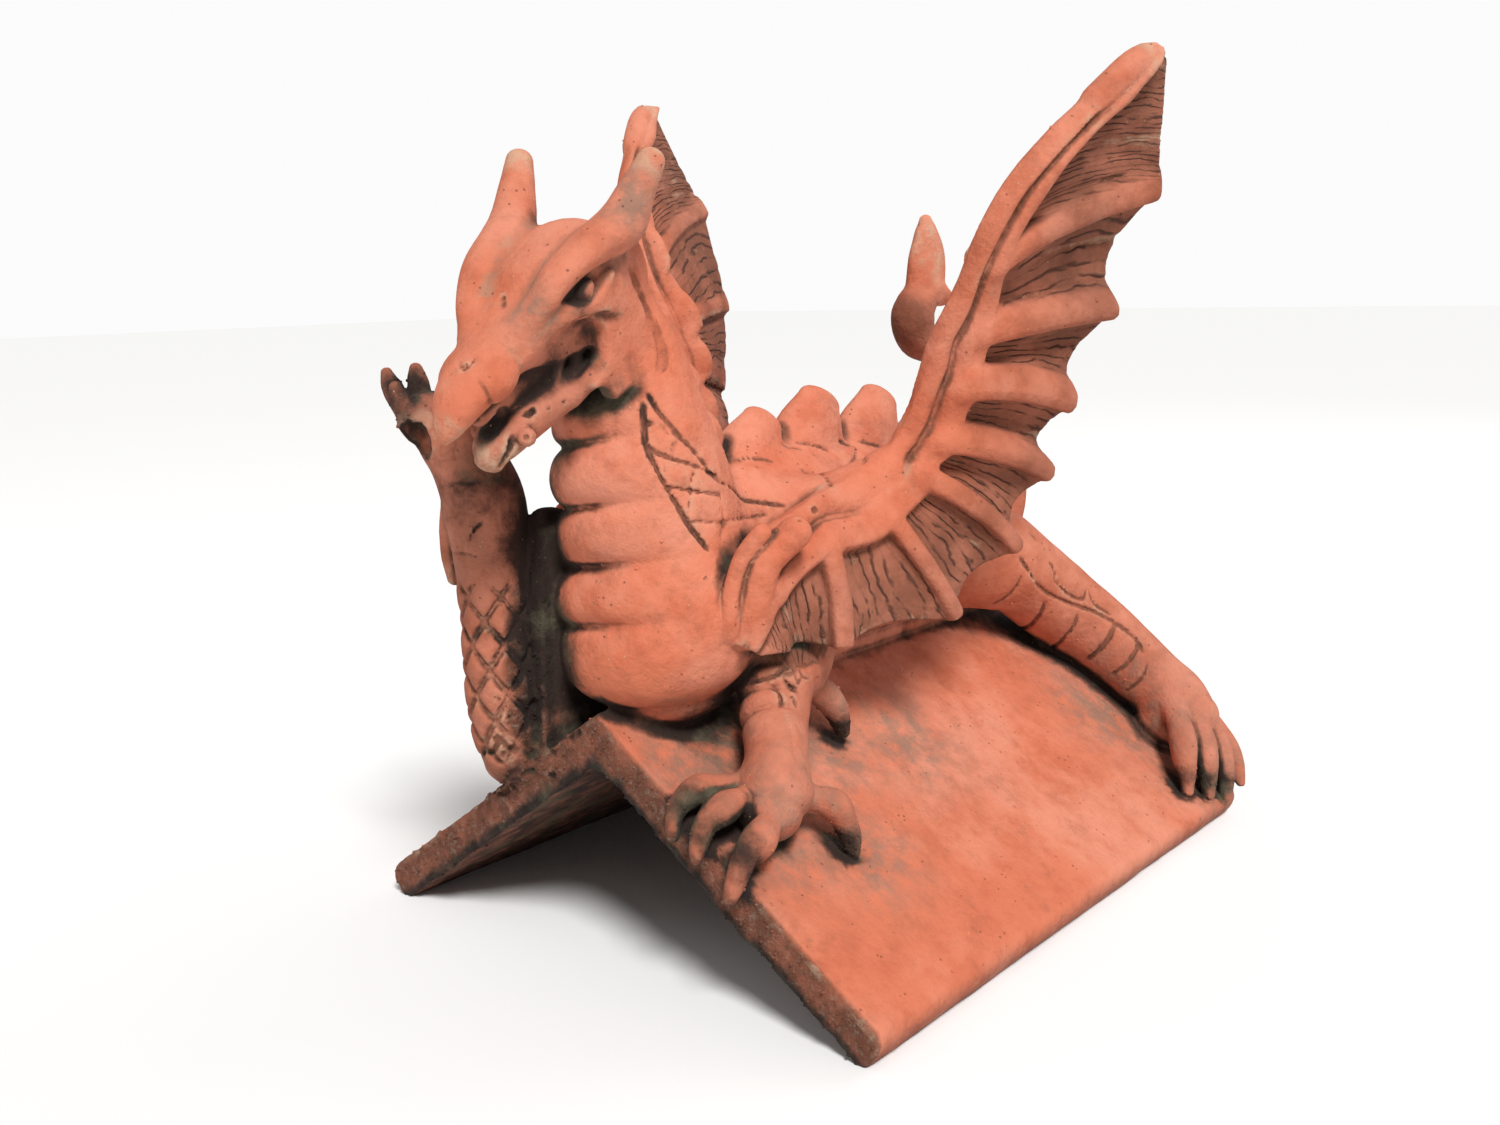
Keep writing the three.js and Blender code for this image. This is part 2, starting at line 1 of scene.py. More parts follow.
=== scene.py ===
import json
import math
import bpy
import numpy as np
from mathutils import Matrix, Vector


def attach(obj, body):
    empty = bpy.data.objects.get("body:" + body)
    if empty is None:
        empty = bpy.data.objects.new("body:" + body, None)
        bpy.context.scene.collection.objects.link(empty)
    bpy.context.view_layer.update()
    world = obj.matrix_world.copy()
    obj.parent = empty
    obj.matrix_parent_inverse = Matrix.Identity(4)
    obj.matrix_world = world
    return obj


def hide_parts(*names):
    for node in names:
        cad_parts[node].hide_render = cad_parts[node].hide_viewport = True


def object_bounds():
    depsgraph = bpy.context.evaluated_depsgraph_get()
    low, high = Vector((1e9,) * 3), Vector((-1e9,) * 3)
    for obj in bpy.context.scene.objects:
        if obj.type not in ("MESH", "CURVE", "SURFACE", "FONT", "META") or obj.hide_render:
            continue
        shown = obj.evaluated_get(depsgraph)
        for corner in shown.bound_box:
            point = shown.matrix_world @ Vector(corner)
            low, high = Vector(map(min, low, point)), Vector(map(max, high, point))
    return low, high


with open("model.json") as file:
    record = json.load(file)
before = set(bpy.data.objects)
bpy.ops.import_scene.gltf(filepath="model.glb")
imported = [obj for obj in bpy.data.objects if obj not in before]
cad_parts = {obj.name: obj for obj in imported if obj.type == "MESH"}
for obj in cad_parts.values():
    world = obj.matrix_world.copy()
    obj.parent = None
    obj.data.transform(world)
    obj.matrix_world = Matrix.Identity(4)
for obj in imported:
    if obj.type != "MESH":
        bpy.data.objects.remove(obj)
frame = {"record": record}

import openvdb as vdb
from mathutils import Matrix, Vector
from mathutils.kdtree import KDTree

cadLow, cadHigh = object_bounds()
mounts = {mount["name"]: mount["pos_m"] for mount in frame["record"]["mounts"]}

# The clay is modelled in millimetres: x across the roof, y back from the front end, z up from the ridge line
tile = {
    "slope": 234.0,
    "pitch": math.radians(35),
    "wall": 23.0,
    "hemRadius": 10.0,
    "innerFillet": 16.0,
    "footDepth": 3.5,
    "arris": 1.6,
    "length": (mounts["rear_end"][1] - mounts["front_end"][1]) * 1000,
}
frontEnd = mounts["front_end"][1] * 1000
ridgeHeight = (tile["slope"] * math.sin(tile["pitch"])
               + tile["wall"] * math.cos(tile["pitch"]) - tile["footDepth"])
halfWidth = tile["slope"] * math.cos(tile["pitch"])

# How finely the clay is modelled
sculpt = {
    "voxel": 1.35,
    "band": 15.0,
    "margin": 6.0,
    "triangles": 170000,
    "toneEdge": 4.0,
}

# The photograph's camera, in the axes of the clay
camera = {
    "place": np.array([572.9, -553.2, 232.5]),
    "azimuth": math.radians(39.6),
    "elevation": math.radians(10.67),
    "roll": math.radians(-1.37),
    "focal": 1500.0,
    "picture": (1500, 1125),
    "clear": 450.0,
}

# How brown each part of the figure is, from 0 to 1; the high values on the jaw, the raised arm and the web
# are painted shade, as these parts lie in shade
tones = {
    "body": 0.0, "tile": 0.1, "wing": 0.1, "head": 0.1, "leg": 0.3, "arm": 0.55, "jaw": 0.55, "web": 0.9,
}


# Small helpers

def toMetres(points):
    out = np.array(points, dtype=float)
    out[..., 1] += frontEnd
    out[..., 2] += ridgeHeight
    return out / 1000


def toClay(points):
    out = np.array(points, dtype=float) * 1000
    out[..., 1] -= frontEnd
    out[..., 2] -= ridgeHeight
    return out


def smoothstep(value, low, high):
    part = np.clip((value - low) / (high - low), 0, 1)
    return part * part * (3 - 2 * part)


def bump(value, centre, width):
    return np.exp(-((value - centre) / width) ** 2)


def unit(vectors):
    vectors = np.asarray(vectors, float)
    return vectors / np.maximum(np.linalg.norm(vectors, axis=-1, keepdims=True), 1e-9)


# Values between the eight corners of each cell; read gives the values at an array of corners
def between(base, part, read, kind):
    total = np.zeros(len(base), kind)
    for corner in range(8):
        shift = np.array([corner & 1, (corner >> 1) & 1, (corner >> 2) & 1])
        total += read(base + shift) * np.prod(np.where(shift, part, 1 - part), axis=1)
    return total


def readGrid(values, place, kind=float):
    base = np.clip(np.floor(place).astype(int), 0, np.array(values.shape) - 2)
    return between(base, np.clip(place - base, 0, 1), lambda key: values[tuple(key.T)], kind)


# Smooth noise between about -1 and 1, from a lattice of fixed random values
def noise(points, size, seed):
    table = np.random.default_rng(seed).uniform(-1, 1, 8192).astype(np.float32)
    cell = np.asarray(points, np.float32) / size
    base = np.floor(cell).astype(np.int64)
    part = cell - base

    def scattered(key):
        return table[(key[:, 0] * 73856093 ^ key[:, 1] * 19349663 ^ key[:, 2] * 83492791) & 8191]
    return between(base, part * part * (3 - 2 * part), scattered, np.float32)


# A smooth curve through the rows of a list, at parameters from 0 to 1
def curveAt(rows, t):
    rows = np.asarray(rows, float)
    ends = np.vstack([2 * rows[0] - rows[1], rows, 2 * rows[-1] - rows[-2]])
    place = np.clip(np.asarray(t, float), 0, 1) * (len(rows) - 1)
    index = np.minimum(place.astype(int), len(rows) - 2)
    part = (place - index)[:, None]
    a, b, c, d = (ends[index + shift] for shift in range(4))
    return 0.5 * (2 * b + (c - a) * part + (2 * a - 5 * b + 4 * c - d) * part ** 2
                  + (3 * b - a - 3 * c + d) * part ** 3)


def smoothPath(rows, spacing):
    rows = np.asarray(rows, float)
    length = np.linalg.norm(np.diff(rows[:, :3], axis=0), axis=1).sum()
    return curveAt(rows, np.linspace(0, 1, max(4, int(length / spacing) + 1)))


# The frames that points are given in: the figure's own, over a slope, over a rear corner, in the head

def plain(points):
    return np.asarray(points, float)


def mirrored(points):
    return np.asarray(points, float) * [-1, 1, 1]


def overSlope(points):
    out = np.array(points, float)
    out[:, 2] -= np.abs(out[:, 0]) * math.tan(tile["pitch"])
    return out


def overCorner(side):
    def place(points):
        points = np.asarray(points, float)
        across = halfWidth - points[:, 0]
        up = points[:, 2] - across * math.tan(tile["pitch"])
        return np.column_stack([side * across, tile["length"] - points[:, 1], up])
    return place


headLean = math.radians(-5)
headCentre = np.array([0, -2, 218.0])
headForward = unit([0, -0.66, -0.75])
headLevel = np.cross(headForward, [1, 0, 0])
headSide = np.array([1, 0, 0]) * math.cos(headLean) + headLevel * math.sin(headLean)
headUp = np.cross(headForward, headSide)


def inHead(points):
    return headCentre + np.asarray(points, float) @ np.array([headSide, headForward, headUp])


def inHeadMirrored(points):
    return inHead(mirrored(points))


# The clay: a grid of distances to its surface, and beside it how brown each place is

step = sculpt["voxel"]
firstCell = np.floor((toClay(cadLow) - sculpt["margin"]) / step).astype(int)
lastCell = np.ceil((toClay(cadHigh) + sculpt["margin"]) / step).astype(int)
clay = np.full(lastCell - firstCell + 1, sculpt["band"], np.float32)
tone = np.zeros(clay.shape, np.float16)


def gridRegion(low, high):
    a = np.clip(np.floor(np.asarray(low) / step).astype(int), firstCell, lastCell)
    b = np.clip(np.ceil(np.asarray(high) / step).astype(int), firstCell, lastCell)
    region = tuple(slice(p, q + 1) for p, q in zip(a - firstCell, b - firstCell))
    axes = [np.arange(p, q + 1, dtype=np.float32) * step for p, q in zip(a, b)]
    return region, axes


def softMinimum(one, other, blend):
    near = np.clip(blend - np.abs(one - other), 0, None) / blend
    return np.minimum(one, other) - near * near * blend * 0.25


# Distances to a closed mesh, on the part of the grid that it reaches
def distancesOf(mesh):
    points, quads, triangles = mesh
    grid = vdb.FloatGrid.createLevelSetFromPolygons(
        np.ascontiguousarray(points, np.float32),
        triangles=np.ascontiguousarray(triangles, np.uint32),
        quads=np.ascontiguousarray(quads, np.uint32),
        transform=vdb.createLinearTransform(voxelSize=step),
        halfWidth=sculpt["band"] / step)
    region, axes = gridRegion(points.min(0) - sculpt["band"], points.max(0) + sculpt["band"])
    values = np.zeros([len(axis) for axis in axes], np.float32)
    grid.copyToArray(values, ijk=tuple(int(round(axis[0] / step)) for axis in axes))
    return region, values


def add(mesh, blend, shade):
    region, values = distancesOf(mesh)
    here = clay[region]
    nearer = smoothstep(here - values, -sculpt["toneEdge"], sculpt["toneEdge"])
    tone[region] = tone[region] * (1 - nearer) + tones[shade] * nearer
    clay[region] = softMinimum(here, values, blend)


def carve(mesh, blend=1.5):
    region, values = distancesOf(mesh)
    clay[region] = -softMinimum(-clay[region], values, blend)


def clayAt(points):
    return readGrid(clay, np.asarray(points, np.float32) / step - firstCell, np.float32)


def slopeAt(points):
    shifts = np.eye(3) * step
    return unit(np.stack([clayAt(points + shift) - clayAt(points - shift) for shift in shifts], axis=1))


def onSurface(points):
    points = np.array(points, float)
    for _ in range(8):
        # A little less than the whole distance, so that it does not swing about
        points -= slopeAt(points) * (clayAt(points) * 0.9)[:, None]
    return points, slopeAt(points)


# Where the photograph's rays through some of its pixels first meet the clay
def seen(pixels):
    back, right, up = cameraAxes()
    pixels = np.asarray(pixels, float)
    offset = (pixels - np.array(camera["picture"]) / 2) / camera["focal"]
    rays = unit(offset[:, :1] * right - offset[:, 1:] * up - back)
    points = camera["place"] + rays * camera["clear"]
    for _ in range(140):
        points = points + rays * (np.clip(clayAt(points), -3, 12) * 0.85)[:, None]
    return points


def cameraAxes():
    azimuth, elevation, roll = camera["azimuth"], camera["elevation"], camera["roll"]
    back = np.array([math.sin(azimuth) * math.cos(elevation), -math.cos(azimuth) * math.cos(elevation),
                     math.sin(elevation)])
    level = np.array([math.cos(azimuth), math.sin(azimuth), 0])
    upright = np.cross(back, level)
    right = math.cos(roll) * level + math.sin(roll) * upright
    return back, right, np.cross(back, right)


def pressBalls(centres, radius):
    for centre in centres:
        region, (x, y, z) = gridRegion(centre - radius - 3 * step, centre + radius + 3 * step)
        distance = np.sqrt((x[:, None, None] - centre[0]) ** 2 + (y[None, :, None] - centre[1]) ** 2
                           + (z[None, None, :] - centre[2]) ** 2) - radius
        clay[region] = np.maximum(clay[region], -distance)


# A line drawn in the wet clay along points near its surface, fading at both ends
def incise(points, width, depth, fade=5.0):
    path, outward = onSurface(smoothPath(points, 1.0))
    along = np.concatenate([[0], np.cumsum(np.linalg.norm(np.diff(path, axis=0), axis=1))])
    ends = smoothstep(np.minimum(along, along[-1] - along), -1.0, fade)
    deep = depth * ends
    radius = (width * width / 4 + depth * depth) / (2 * depth)
    keep = deep > 0.15
    pressBalls((path + outward * (radius - deep)[:, None])[keep], radius)


# Oval sections along a smooth path, with rounded ends. A row is x, y, z, half width and half height.
def limb(rows, place=plain, up=(0, 0, 1), sides=48, fineness=2.0, swell=None, square=2.0, ends=(1.0, 1.0)):
    rows = np.array([row if len(row) == 5 else [*row, row[3]] for row in rows], float)
    centres = place(rows[:, :3])
    length = np.linalg.norm(np.diff(centres, axis=0), axis=1).sum()
    count = max(8, int(length / fineness))
    cap = np.linspace(0, math.pi / 2, 9)[1:-1]
    t = np.concatenate([np.zeros(len(cap)), np.linspace(0, 1, count), np.ones(len(cap))])
    out = np.concatenate([-np.sin(cap[::-1]) * ends[0], np.zeros(count), np.sin(cap) * ends[1]])
    shrink = np.concatenate([np.cos(cap[::-1]), np.ones(count), np.cos(cap)])
    nudge = 1e-4
    tangent = unit(curveAt(centres, np.minimum(t + nudge, 1)) - curveAt(centres, np.maximum(t - nudge, 0)))
    size = curveAt(rows[:, 3:5], t)
    across = unit(np.cross(np.asarray(up, float), tangent))
    lift = np.cross(tangent, across)
    path = curveAt(centres, t) + tangent * (out * size.min(1))[:, None]
    angle = np.linspace(0, 2 * math.pi, sides, endpoint=False)
    sideways, upwards = (np.sign(wave) * np.abs(wave) ** (2 / square)
                         for wave in (np.cos(angle), np.sin(angle)))
    radial = (across[:, None] * (size[:, :1] * sideways)[..., None]
              + lift[:, None] * (size[:, 1:] * upwards)[..., None]) * shrink[:, None, None]
    outward = unit(radial)
    rings = path[:, None] + radial
    if swell is not None:
        along = np.concatenate([[0], np.cumsum(np.linalg.norm(np.diff(path, axis=0), axis=1))])
        extra = swell(along[:, None] + 0 * angle, angle[None] + 0 * t[:, None], outward, rings)
        rings = rings + outward * (extra * shrink[:, None])[..., None]
    firstPole = path[0] - tangent[0] * 0.02 * size[0].min()
    lastPole = path[-1] + tangent[-1] * 0.02 * size[-1].min()
    return closedRings(rings, firstPole, lastPole)


def closedRings(rings, firstPole, lastPole):
    count, sides = rings.shape[:2]
    points = np.vstack([rings.reshape(-1, 3), firstPole, lastPole])
    i, j = (grid.ravel() for grid in np.meshgrid(np.arange(count - 1), np.arange(sides), indexing="ij"))
    a, b = i * sides + j, i * sides + (j + 1) % sides
    ring = np.arange(sides)
    beside = (ring + 1) % sides
    last = (count - 1) * sides
    triangles = np.vstack([
        np.column_stack([np.full(sides, count * sides), beside, ring]),
        np.column_stack([np.full(sides, count * sides + 1), last + ring, last + beside]),
    ])
    return points, np.column_stack([a, b, b + sides, a + sides]), triangles


# A limb joined to the clay, blended over a distance and toned
def grow(rows, blend, shade, place=plain, up=(0, 0, 1), **shape):
    add(limb(rows, place, up, **shape), blend, shade)


def lump(centre, halfSizes, place=plain):
    x, y, z = centre
    a, b, c = halfSizes
    lift = place([[0, 0, 1]])[0] - place([[0, 0, 0]])[0]
    rows = [[x, y - 0.02 * b, z, a, c], [x, y + 0.02 * b, z, a, c]]
    return limb(rows, place, up=lift, ends=(b / min(a, c), b / min(a, c)))


# Ridge tile: two slopes of even wall, rounded at hem and inner apex, on two level feet
def modelTile():
    axes = [np.arange(firstCell[k], lastCell[k] + 1, dtype=np.float32) * step for k in range(3)]
    x, z = np.meshgrid(axes[0], axes[2], indexing="ij")
    across = np.abs(x)
    sine, cosine = math.sin(tile["pitch"]), math.cos(tile["pitch"])
    outer = across * sine + z * cosine
    along = across * cosine - z * sine
    inner = -(outer + tile["wall"])
    fillet = tile["innerFillet"]
    overCentre = z + (tile["wall"] + fillet) / cosine
    rounded = np.minimum(inner, fillet - np.hypot(across, overCentre))
    inner = np.where((across < fillet * sine) & (overCentre > 0), rounded, inner)
    beyond = along - tile["slope"]
    radius = tile["hemRadius"]
    hem = (np.minimum(np.maximum(outer + radius, beyond + radius), 0)
           + np.hypot(np.maximum(outer + radius, 0), np.maximum(beyond + radius, 0)) - radius)
    profile = np.maximum(np.maximum(hem, inner), -(z + ridgeHeight))[:, None, :] + tile["arris"]
    end = (np.abs(axes[1] - tile["length"] / 2) - tile["length"] / 2)[None, :, None] + tile["arris"]
    distance = (np.minimum(np.maximum(profile, end), 0)
                + np.hypot(np.maximum(profile, 0), np.maximum(end, 0)) - tile["arris"])
    clay[:] = np.clip(distance, -sculpt["band"], sculpt["band"])
    tone[clay < 5] = tones["tile"]
    print("tile modelled")


def modelTrunk():
    grow([
        [0, 42, 56, 46, 52], [0, 90, 61, 55, 63], [0, 160, 66, 51, 68], [0, 250, 62, 46, 64],
        [0, 330, 50, 47, 54], [0, 385, 40, 40, 42], [0, 415, 34, 26, 30],
    ], 8, "body", sides=80, ends=(0.5, 0.7))
    # The belly is bedded on the ridge
    grow([[0, 80, -3, 16, 12], [0, 230, -3, 16, 12], [0, 400, -3, 16, 12]], 3, "body")


# Chest and neck, with rolls that are deep on the far side of the front and melt away towards the near side
chest = {
    "creases": [-2, 49, 81, 114, 149, 176, 200],
    "rise": 0.12,
    "roll": 6.5,
    "creaseWidth": 3.6,
    "creaseDepth": 1.5,
    "fadeFrom": 0.0,
    "fadeTo": 80.0,
}


def modelChest():
    creases = np.array(chest["creases"], float)

    def rolls(along, angle, outward, rings):
        around = np.degrees(np.arctan2(outward[..., 0], -outward[..., 1]))
        height = rings[..., 2] - chest["rise"] * np.clip(around, -40, 60)
        sideways = 1 - smoothstep(np.abs(around), chest["fadeFrom"], chest["fadeTo"])
        facing = np.where(around > 0, sideways, 1 - smoothstep(-around, 70, 110))
        upper = np.clip(np.searchsorted(creases, height), 1, len(creases) - 1)
        low, high = creases[upper - 1], creases[upper]
        part = np.clip((height - low) / (high - low), 0, 1)
        roll = np.sin(math.pi * part) ** 0.7
        nearest = np.min(np.abs(height[..., None] - creases), axis=-1)
        crease = bump(nearest, 0, chest["creaseWidth"]) * facing
        return facing * chest["roll"] * (roll - 0.6) - facing * chest["creaseDepth"] * crease

    grow([
        [0, 61, 6, 42, 44], [0, 59, 22, 57, 54], [0, 59, 50, 63, 57], [0, 57, 82, 57, 53],
        [0, 51, 108, 51, 50], [0, 44, 136, 47, 47], [0, 40, 160, 42, 41], [0, 36, 184, 36, 35],
        [0, 28, 206, 30, 29], [0, 18, 224, 25, 25],
    ], 7, "body", up=(0, 1, 0), sides=128, fineness=1.2, swell=rolls, ends=(0.5, 0.6))
    print("chest modelled")


# Crest: broad rounded lobes leaning back. A row is foot y, z, top y, z, half width and half length.
crest = [
    (52, 190, 66, 208, 15, 21),
    (66, 160, 86, 180, 16, 23),
    (82, 132, 104, 148, 17, 24),
    (136, 118, 154, 147, 20, 28),
    (192, 118, 212, 156, 21, 31),
    (256, 112, 278, 152, 20, 31),
    (318, 92, 338, 124, 17, 26),
    (368, 68, 386, 94, 13, 20),
]


def modelCrest():
    for footY, footZ, topY, topZ, width, length in crest:
        grow([
            [0, footY, footZ, width, length],
            [0, (footY + topY) / 2, (footZ + topZ) / 2, width * 0.82, length * 0.92],
            [0, topY, topZ, width * 0.48, length * 0.6],
        ], 5, "body", up=(0, 1, 0), ends=(0.4, 0.8))
        for side in (1, -1):
            middle = footZ + (topZ - footZ) * 0.4
            incise([[side * width * share, footY - length * (1 - share), middle - 6 * share]
                    for share in (0.35, 0.8, 1.0, 0.9)], 3.0, 1.4)
    print("crest modelled")


# Head: skull and beak, hollow mouth, jaw, cheek plates, brows flowing into horns, nostrils and eyes
def modelHead():
    grow([
        [0, -40, -6, 22, 22], [0, -22, 0, 32, 28], [0, 2, 13, 36, 27], [0, 24, 20, 31, 21],
        [0, 44, 28, 21, 15], [0, 62, 32, 17, 12], [0, 80, 33, 14, 9],
    ], 6, "head", inHead, headUp, sides=72, square=2.3, ends=(0.6, 0.6))
    add(lump([0, -4, 20], [33, 36, 22], inHead), 12, "head")
    for place in (inHead, inHeadMirrored):
        carve(limb([
            [34, 6, -2, 9, 8], [33, 16, 4, 12, 13], [30, 30, 8, 14, 17], [26, 46, 10, 12, 15],
            [21, 60, 12, 11, 12], [17, 74, 16, 9, 8],
        ], place, headUp, ends=(0.8, 0.8)), 2)
    grow([
        [0, 14, 0, 12, 16], [0, 36, 8, 11, 14], [0, 56, 12, 8.5, 12], [0, 70, 15, 7, 9],
        [0, 80, 18, 5, 6],
    ], 2, "jaw", inHead, headUp)
    grow([
        [0, 62, 34, 16.5, 9], [0, 76, 33.5, 15.5, 10.5], [0, 88, 32.5, 12.5, 9], [0, 98, 30.5, 7, 6],
        [0, 102, 30, 4, 4],
    ], 2.5, "head", inHead, headUp, square=2.2, ends=(0.5, 0.8))
    grow([
        [0, -4, -24, 20, 12], [0, 24, -17, 20, 11.5], [0, 43, -12, 19, 11], [0, 57, -7.5, 17.5, 11],
        [0, 72, -3, 15, 10.5], [0, 86, -0.5, 12, 8.5], [0, 94, -2, 7.5, 6.5],
    ], 3, "jaw", inHead, headUp, square=2.6, ends=(0.5, 0.7))
    carve(limb([
        [0, 72, 11, 8, 4.5], [0, 82, 10, 6, 4],
    ], inHead, headUp, ends=(0.8, 0.8)), 1.5)
    for place in (inHead, inHeadMirrored):
        modelCheek(place)
        modelBrow(place)
        modelEye(place)
        add(lump([12.5, 65, 31], [9.5, 14, 9.5], place), 3, "head")
    print("head modelled")


# A flat plate with rounded edges, beside the head's middle; its outline is given as forward and up
def plate(outline, centre, half, place):
    rows = np.array([outline[-1], *outline, outline[0], outline[1]], float)
    count = len(outline)
    edge = curveAt(rows, (1 + np.linspace(0, count, 12 * count, endpoint=False)) / (count + 2))
    middle = edge.mean(axis=0)
    rings = []
    for offset, scale in ((-1, 0.8), (-0.9, 0.92), (-0.6, 1), (0.5, 1), (0.85, 0.94), (1, 0.82)):
        flat = middle + (edge - middle) * scale
        rings.append(place(np.column_stack([np.full(len(flat), centre + half * offset), flat])))
    poles = place([[centre - half, *middle], [centre + half, *middle]])
    return closedRings(np.array(rings), poles[0], poles[1])


# Cheek: a plate with a pointed jowl and a ragged notch at its front, and a strap down to the jaw's hinge
cheekOutline = [(-24, 14), (-21, 3), (-18, -12), (-13, -27), (-3, -39), (10, -43), (22, -34), (31.5, -29.5),
                (31, -22), (33, -16), (37, -12), (32, -9), (22, -8), (12, 2), (10, 12), (0, 18), (-12, 21)]


def modelCheek(place):
    add(plate(cheekOutline, 26.5, 6.5, place), 3, "head")
    grow([[26, 24, -11, 4.5], [23, 34, -12, 5], [18, 43, -12, 6]], 4, "jaw", place, headUp)
    # Folds at the back of the open mouth
    for rows in ([[12.5, 20, 16, 2.6], [12.5, 30, 4, 3.0], [12.5, 42, -4, 2.6]],
                 [[14.5, 11, 10, 2.8], [15, 22, -3, 3.2], [15.5, 34, -11, 2.8]]):
        grow(rows, 3, "jaw", place, headUp)
    add(lump([15.8, 77, -1], [4.8, 4.8, 4.8], place), 0.5, "jaw")


# The brow overhangs the eye and flows into the horn; the lip runs from under the eye to the nostril
def modelBrow(place):
    grow([
        [15, 44, 34, 6, 5], [24, 27, 40, 8, 6], [28.5, 8, 42.5, 10, 7.5], [32, -14, 37.5, 12, 9.5],
        [37, -32, 33, 12.5, 12], [41, -48, 38, 10, 10], [45, -64, 43, 7.5, 7.5],
    ], 11, "head", place, headUp, ends=(0.7, 0.9))
    grow([
        [27, 8, 17, 5, 5], [26, 19, 26, 5, 4.5], [24, 28, 30, 4.5, 4.5], [21, 38, 30, 4.5, 4.5],
        [18, 50, 29, 4, 4],
    ], 4, "head", place, headUp)


# Almond eye: a hollow under the brow, the ball in it, and a thick lower lid
def modelEye(place):
    carve(limb([
        [32, 20, 35, 2.5, 2], [35, 13, 31.5, 5, 4.5], [37, 5, 29.5, 6, 5.5], [38, -4, 28, 4.5, 4],
        [38, -10, 26.5, 2.5, 2],
    ], place, headUp, ends=(0.8, 0.8)), 1)
    add(lump([32.4, 7, 28.2], [5.0, 7.2, 5.2], place), 0.3, "jaw")
    grow([
        [28.5, 21, 34, 2.4], [32.5, 16, 25, 3], [34.6, 3, 19.5, 3.4], [35.6, -9, 22, 3],
    ], 1.6, "head", place, headUp)


# One wing as a single sheet. A row of the fan has a point on the leading edge, one in the middle, one on the
# trailing edge, and the height of its rib.
wingFan = [
    (194, 268, 356, 195, 272, 353, 196, 277, 350, 0),
    (164, 213, 305, 174, 252, 316, 189, 292, 318, 0),
    (141, 191, 266, 162, 248, 290, 182, 303, 294, 0),
    (122, 189, 228, 146, 234, 258, 178, 309, 279, 9.0),
    (105, 191, 196, 135, 250, 206, 156, 301, 209, 9.5),
    (94, 189, 166, 124, 233, 166, 141, 276, 154, 9.5),
    (84, 182, 139, 113, 228, 130, 130, 270, 110, 9.0),
    (78, 172, 124, 107, 212, 98, 122, 244, 66, 8.5),
    (73, 150, 112, 99, 172, 68, 112, 190, 32, 8.5),
    (68, 112, 104, 84, 110, 60, 92, 105, 28, 8.0),
    (62, 62, 80, 70, 76, 50, 74, 78, 30, 0),
    (60, 52, 38, 63, 60, 34, 66, 66, 30, 0),
]
wingShape = {
    "membrane": 4.0,
    "scallop": 0.16,
    "pleat": 7.5,
    "upperSlope": 17.0,
    "lowerSlope": 5.0,
    "wrinkles": 6,
    "wrinkleDepth": 1.6,
    "wrinkleWidth": 1.5,
    "rim": 7.5,
    "rimHalfWidth": 6.5,
    "bar": 11.5,
    "barStart": 8,
    "barHalfWidth": 9.0,
}
wingSheet = {}


def wingMesh(side, seed):
    random = np.random.default_rng(seed)
    fan = np.array(wingFan, float)
    last = len(fan) - 1
    line = np.linspace(0, last, 520)
    index = np.minimum(line.astype(int), last - 1)
    part = line - index
    edges = curveAt(fan[:, 0:3], line / last)
    middles = curveAt(fan[:, 3:6], line / last)
    arch = np.where(fan[index, 9] > 0, np.sin(math.pi * part), 0)
    tips = fan[index, 6:9] * (1 - part)[:, None] + fan[index + 1, 6:9] * part[:, None]
    tips += (middles - tips) * (wingShape["scallop"] * arch)[:, None]
    tips[:, 0] -= wingShape["pleat"] * arch
    middles[:, 0] -= wingShape["pleat"] * arch
    reach = np.linalg.norm(middles - edges, axis=1) * 2
    overhang = (-6.0 / np.maximum(reach, 20))[:, None]
    v = overhang + (1 - overhang) * np.linspace(0, 1, 110)[None]
    weights = (1 - v) * (1 - 2 * v), 4 * v * (1 - v), v * (2 * v - 1)
    sheet = sum(points[:, None] * weight[..., None]
                for points, weight in zip((edges, middles, tips), weights))
    alongLine = np.gradient(sheet, line, axis=0)
    normal = unit(np.cross(alongLine, np.gradient(sheet, axis=1)))
    spacing = np.linalg.norm(alongLine, axis=-1)
    out = v * reach[:, None] / np.minimum(1, reach * 0.46 / 26)[:, None]
    wobble = 1.2 * np.sin(line * 2.3 + seed)[:, None] + 0.8 * np.sin(line * 5.1)[:, None]
    ribs = wingRibs(line, v, out, spacing, fan)
    lip, free = wingLip(out + wobble, line)
    wrinkle = wingWrinkles(line, v, ribs, spacing, last, random) * smoothstep(out, 24, 32)
    thin = wingShape["membrane"] * (1 - 0.2 * np.clip(v, 0, 1)) - 1.2 * bump(out, 33, 9) * (ribs < 2)
    taper = np.sqrt(np.clip(1 - (np.clip(v - 0.965, 0, 1) / 0.045) ** 2, 0.05, 1))
    front = -softMinimum(-(thin + ribs * smoothstep(out, 8, 20)), -(thin * free + lip), 2.5)
    outer = (front - wrinkle) * taper
    inner = (np.maximum(lip * 0.9, thin) + ribs * 0.7 * smoothstep(out, 8, 20) - wrinkle * 0.7) * taper
    normal = normal * np.sign(np.mean(normal[..., 0]))
    faces = [sheet + normal * outer[..., None], sheet - normal * inner[..., None]]
    points = np.stack(faces, axis=2).reshape(-1, 3)
    points[:, 0] *= side
    if side > 0:
        wingSheet["points"] = sheet.reshape(-1, 3)[::2]
        membrane = smoothstep(out, 25, 31) * (1 - smoothstep(ribs, 2.0, 5.5))
        membrane *= (1 - smoothstep(line, 10.1, 10.6))[:, None]
        wingSheet["fanLine"] = (line[:, None] / last + 0 * v).ravel()[::2]
        wingSheet["fanReach"] = v.ravel()[::2]
        wingSheet["membrane"] = membrane.ravel()[::2]
    return points, sheetFaces(*v.shape), np.zeros((0, 3))


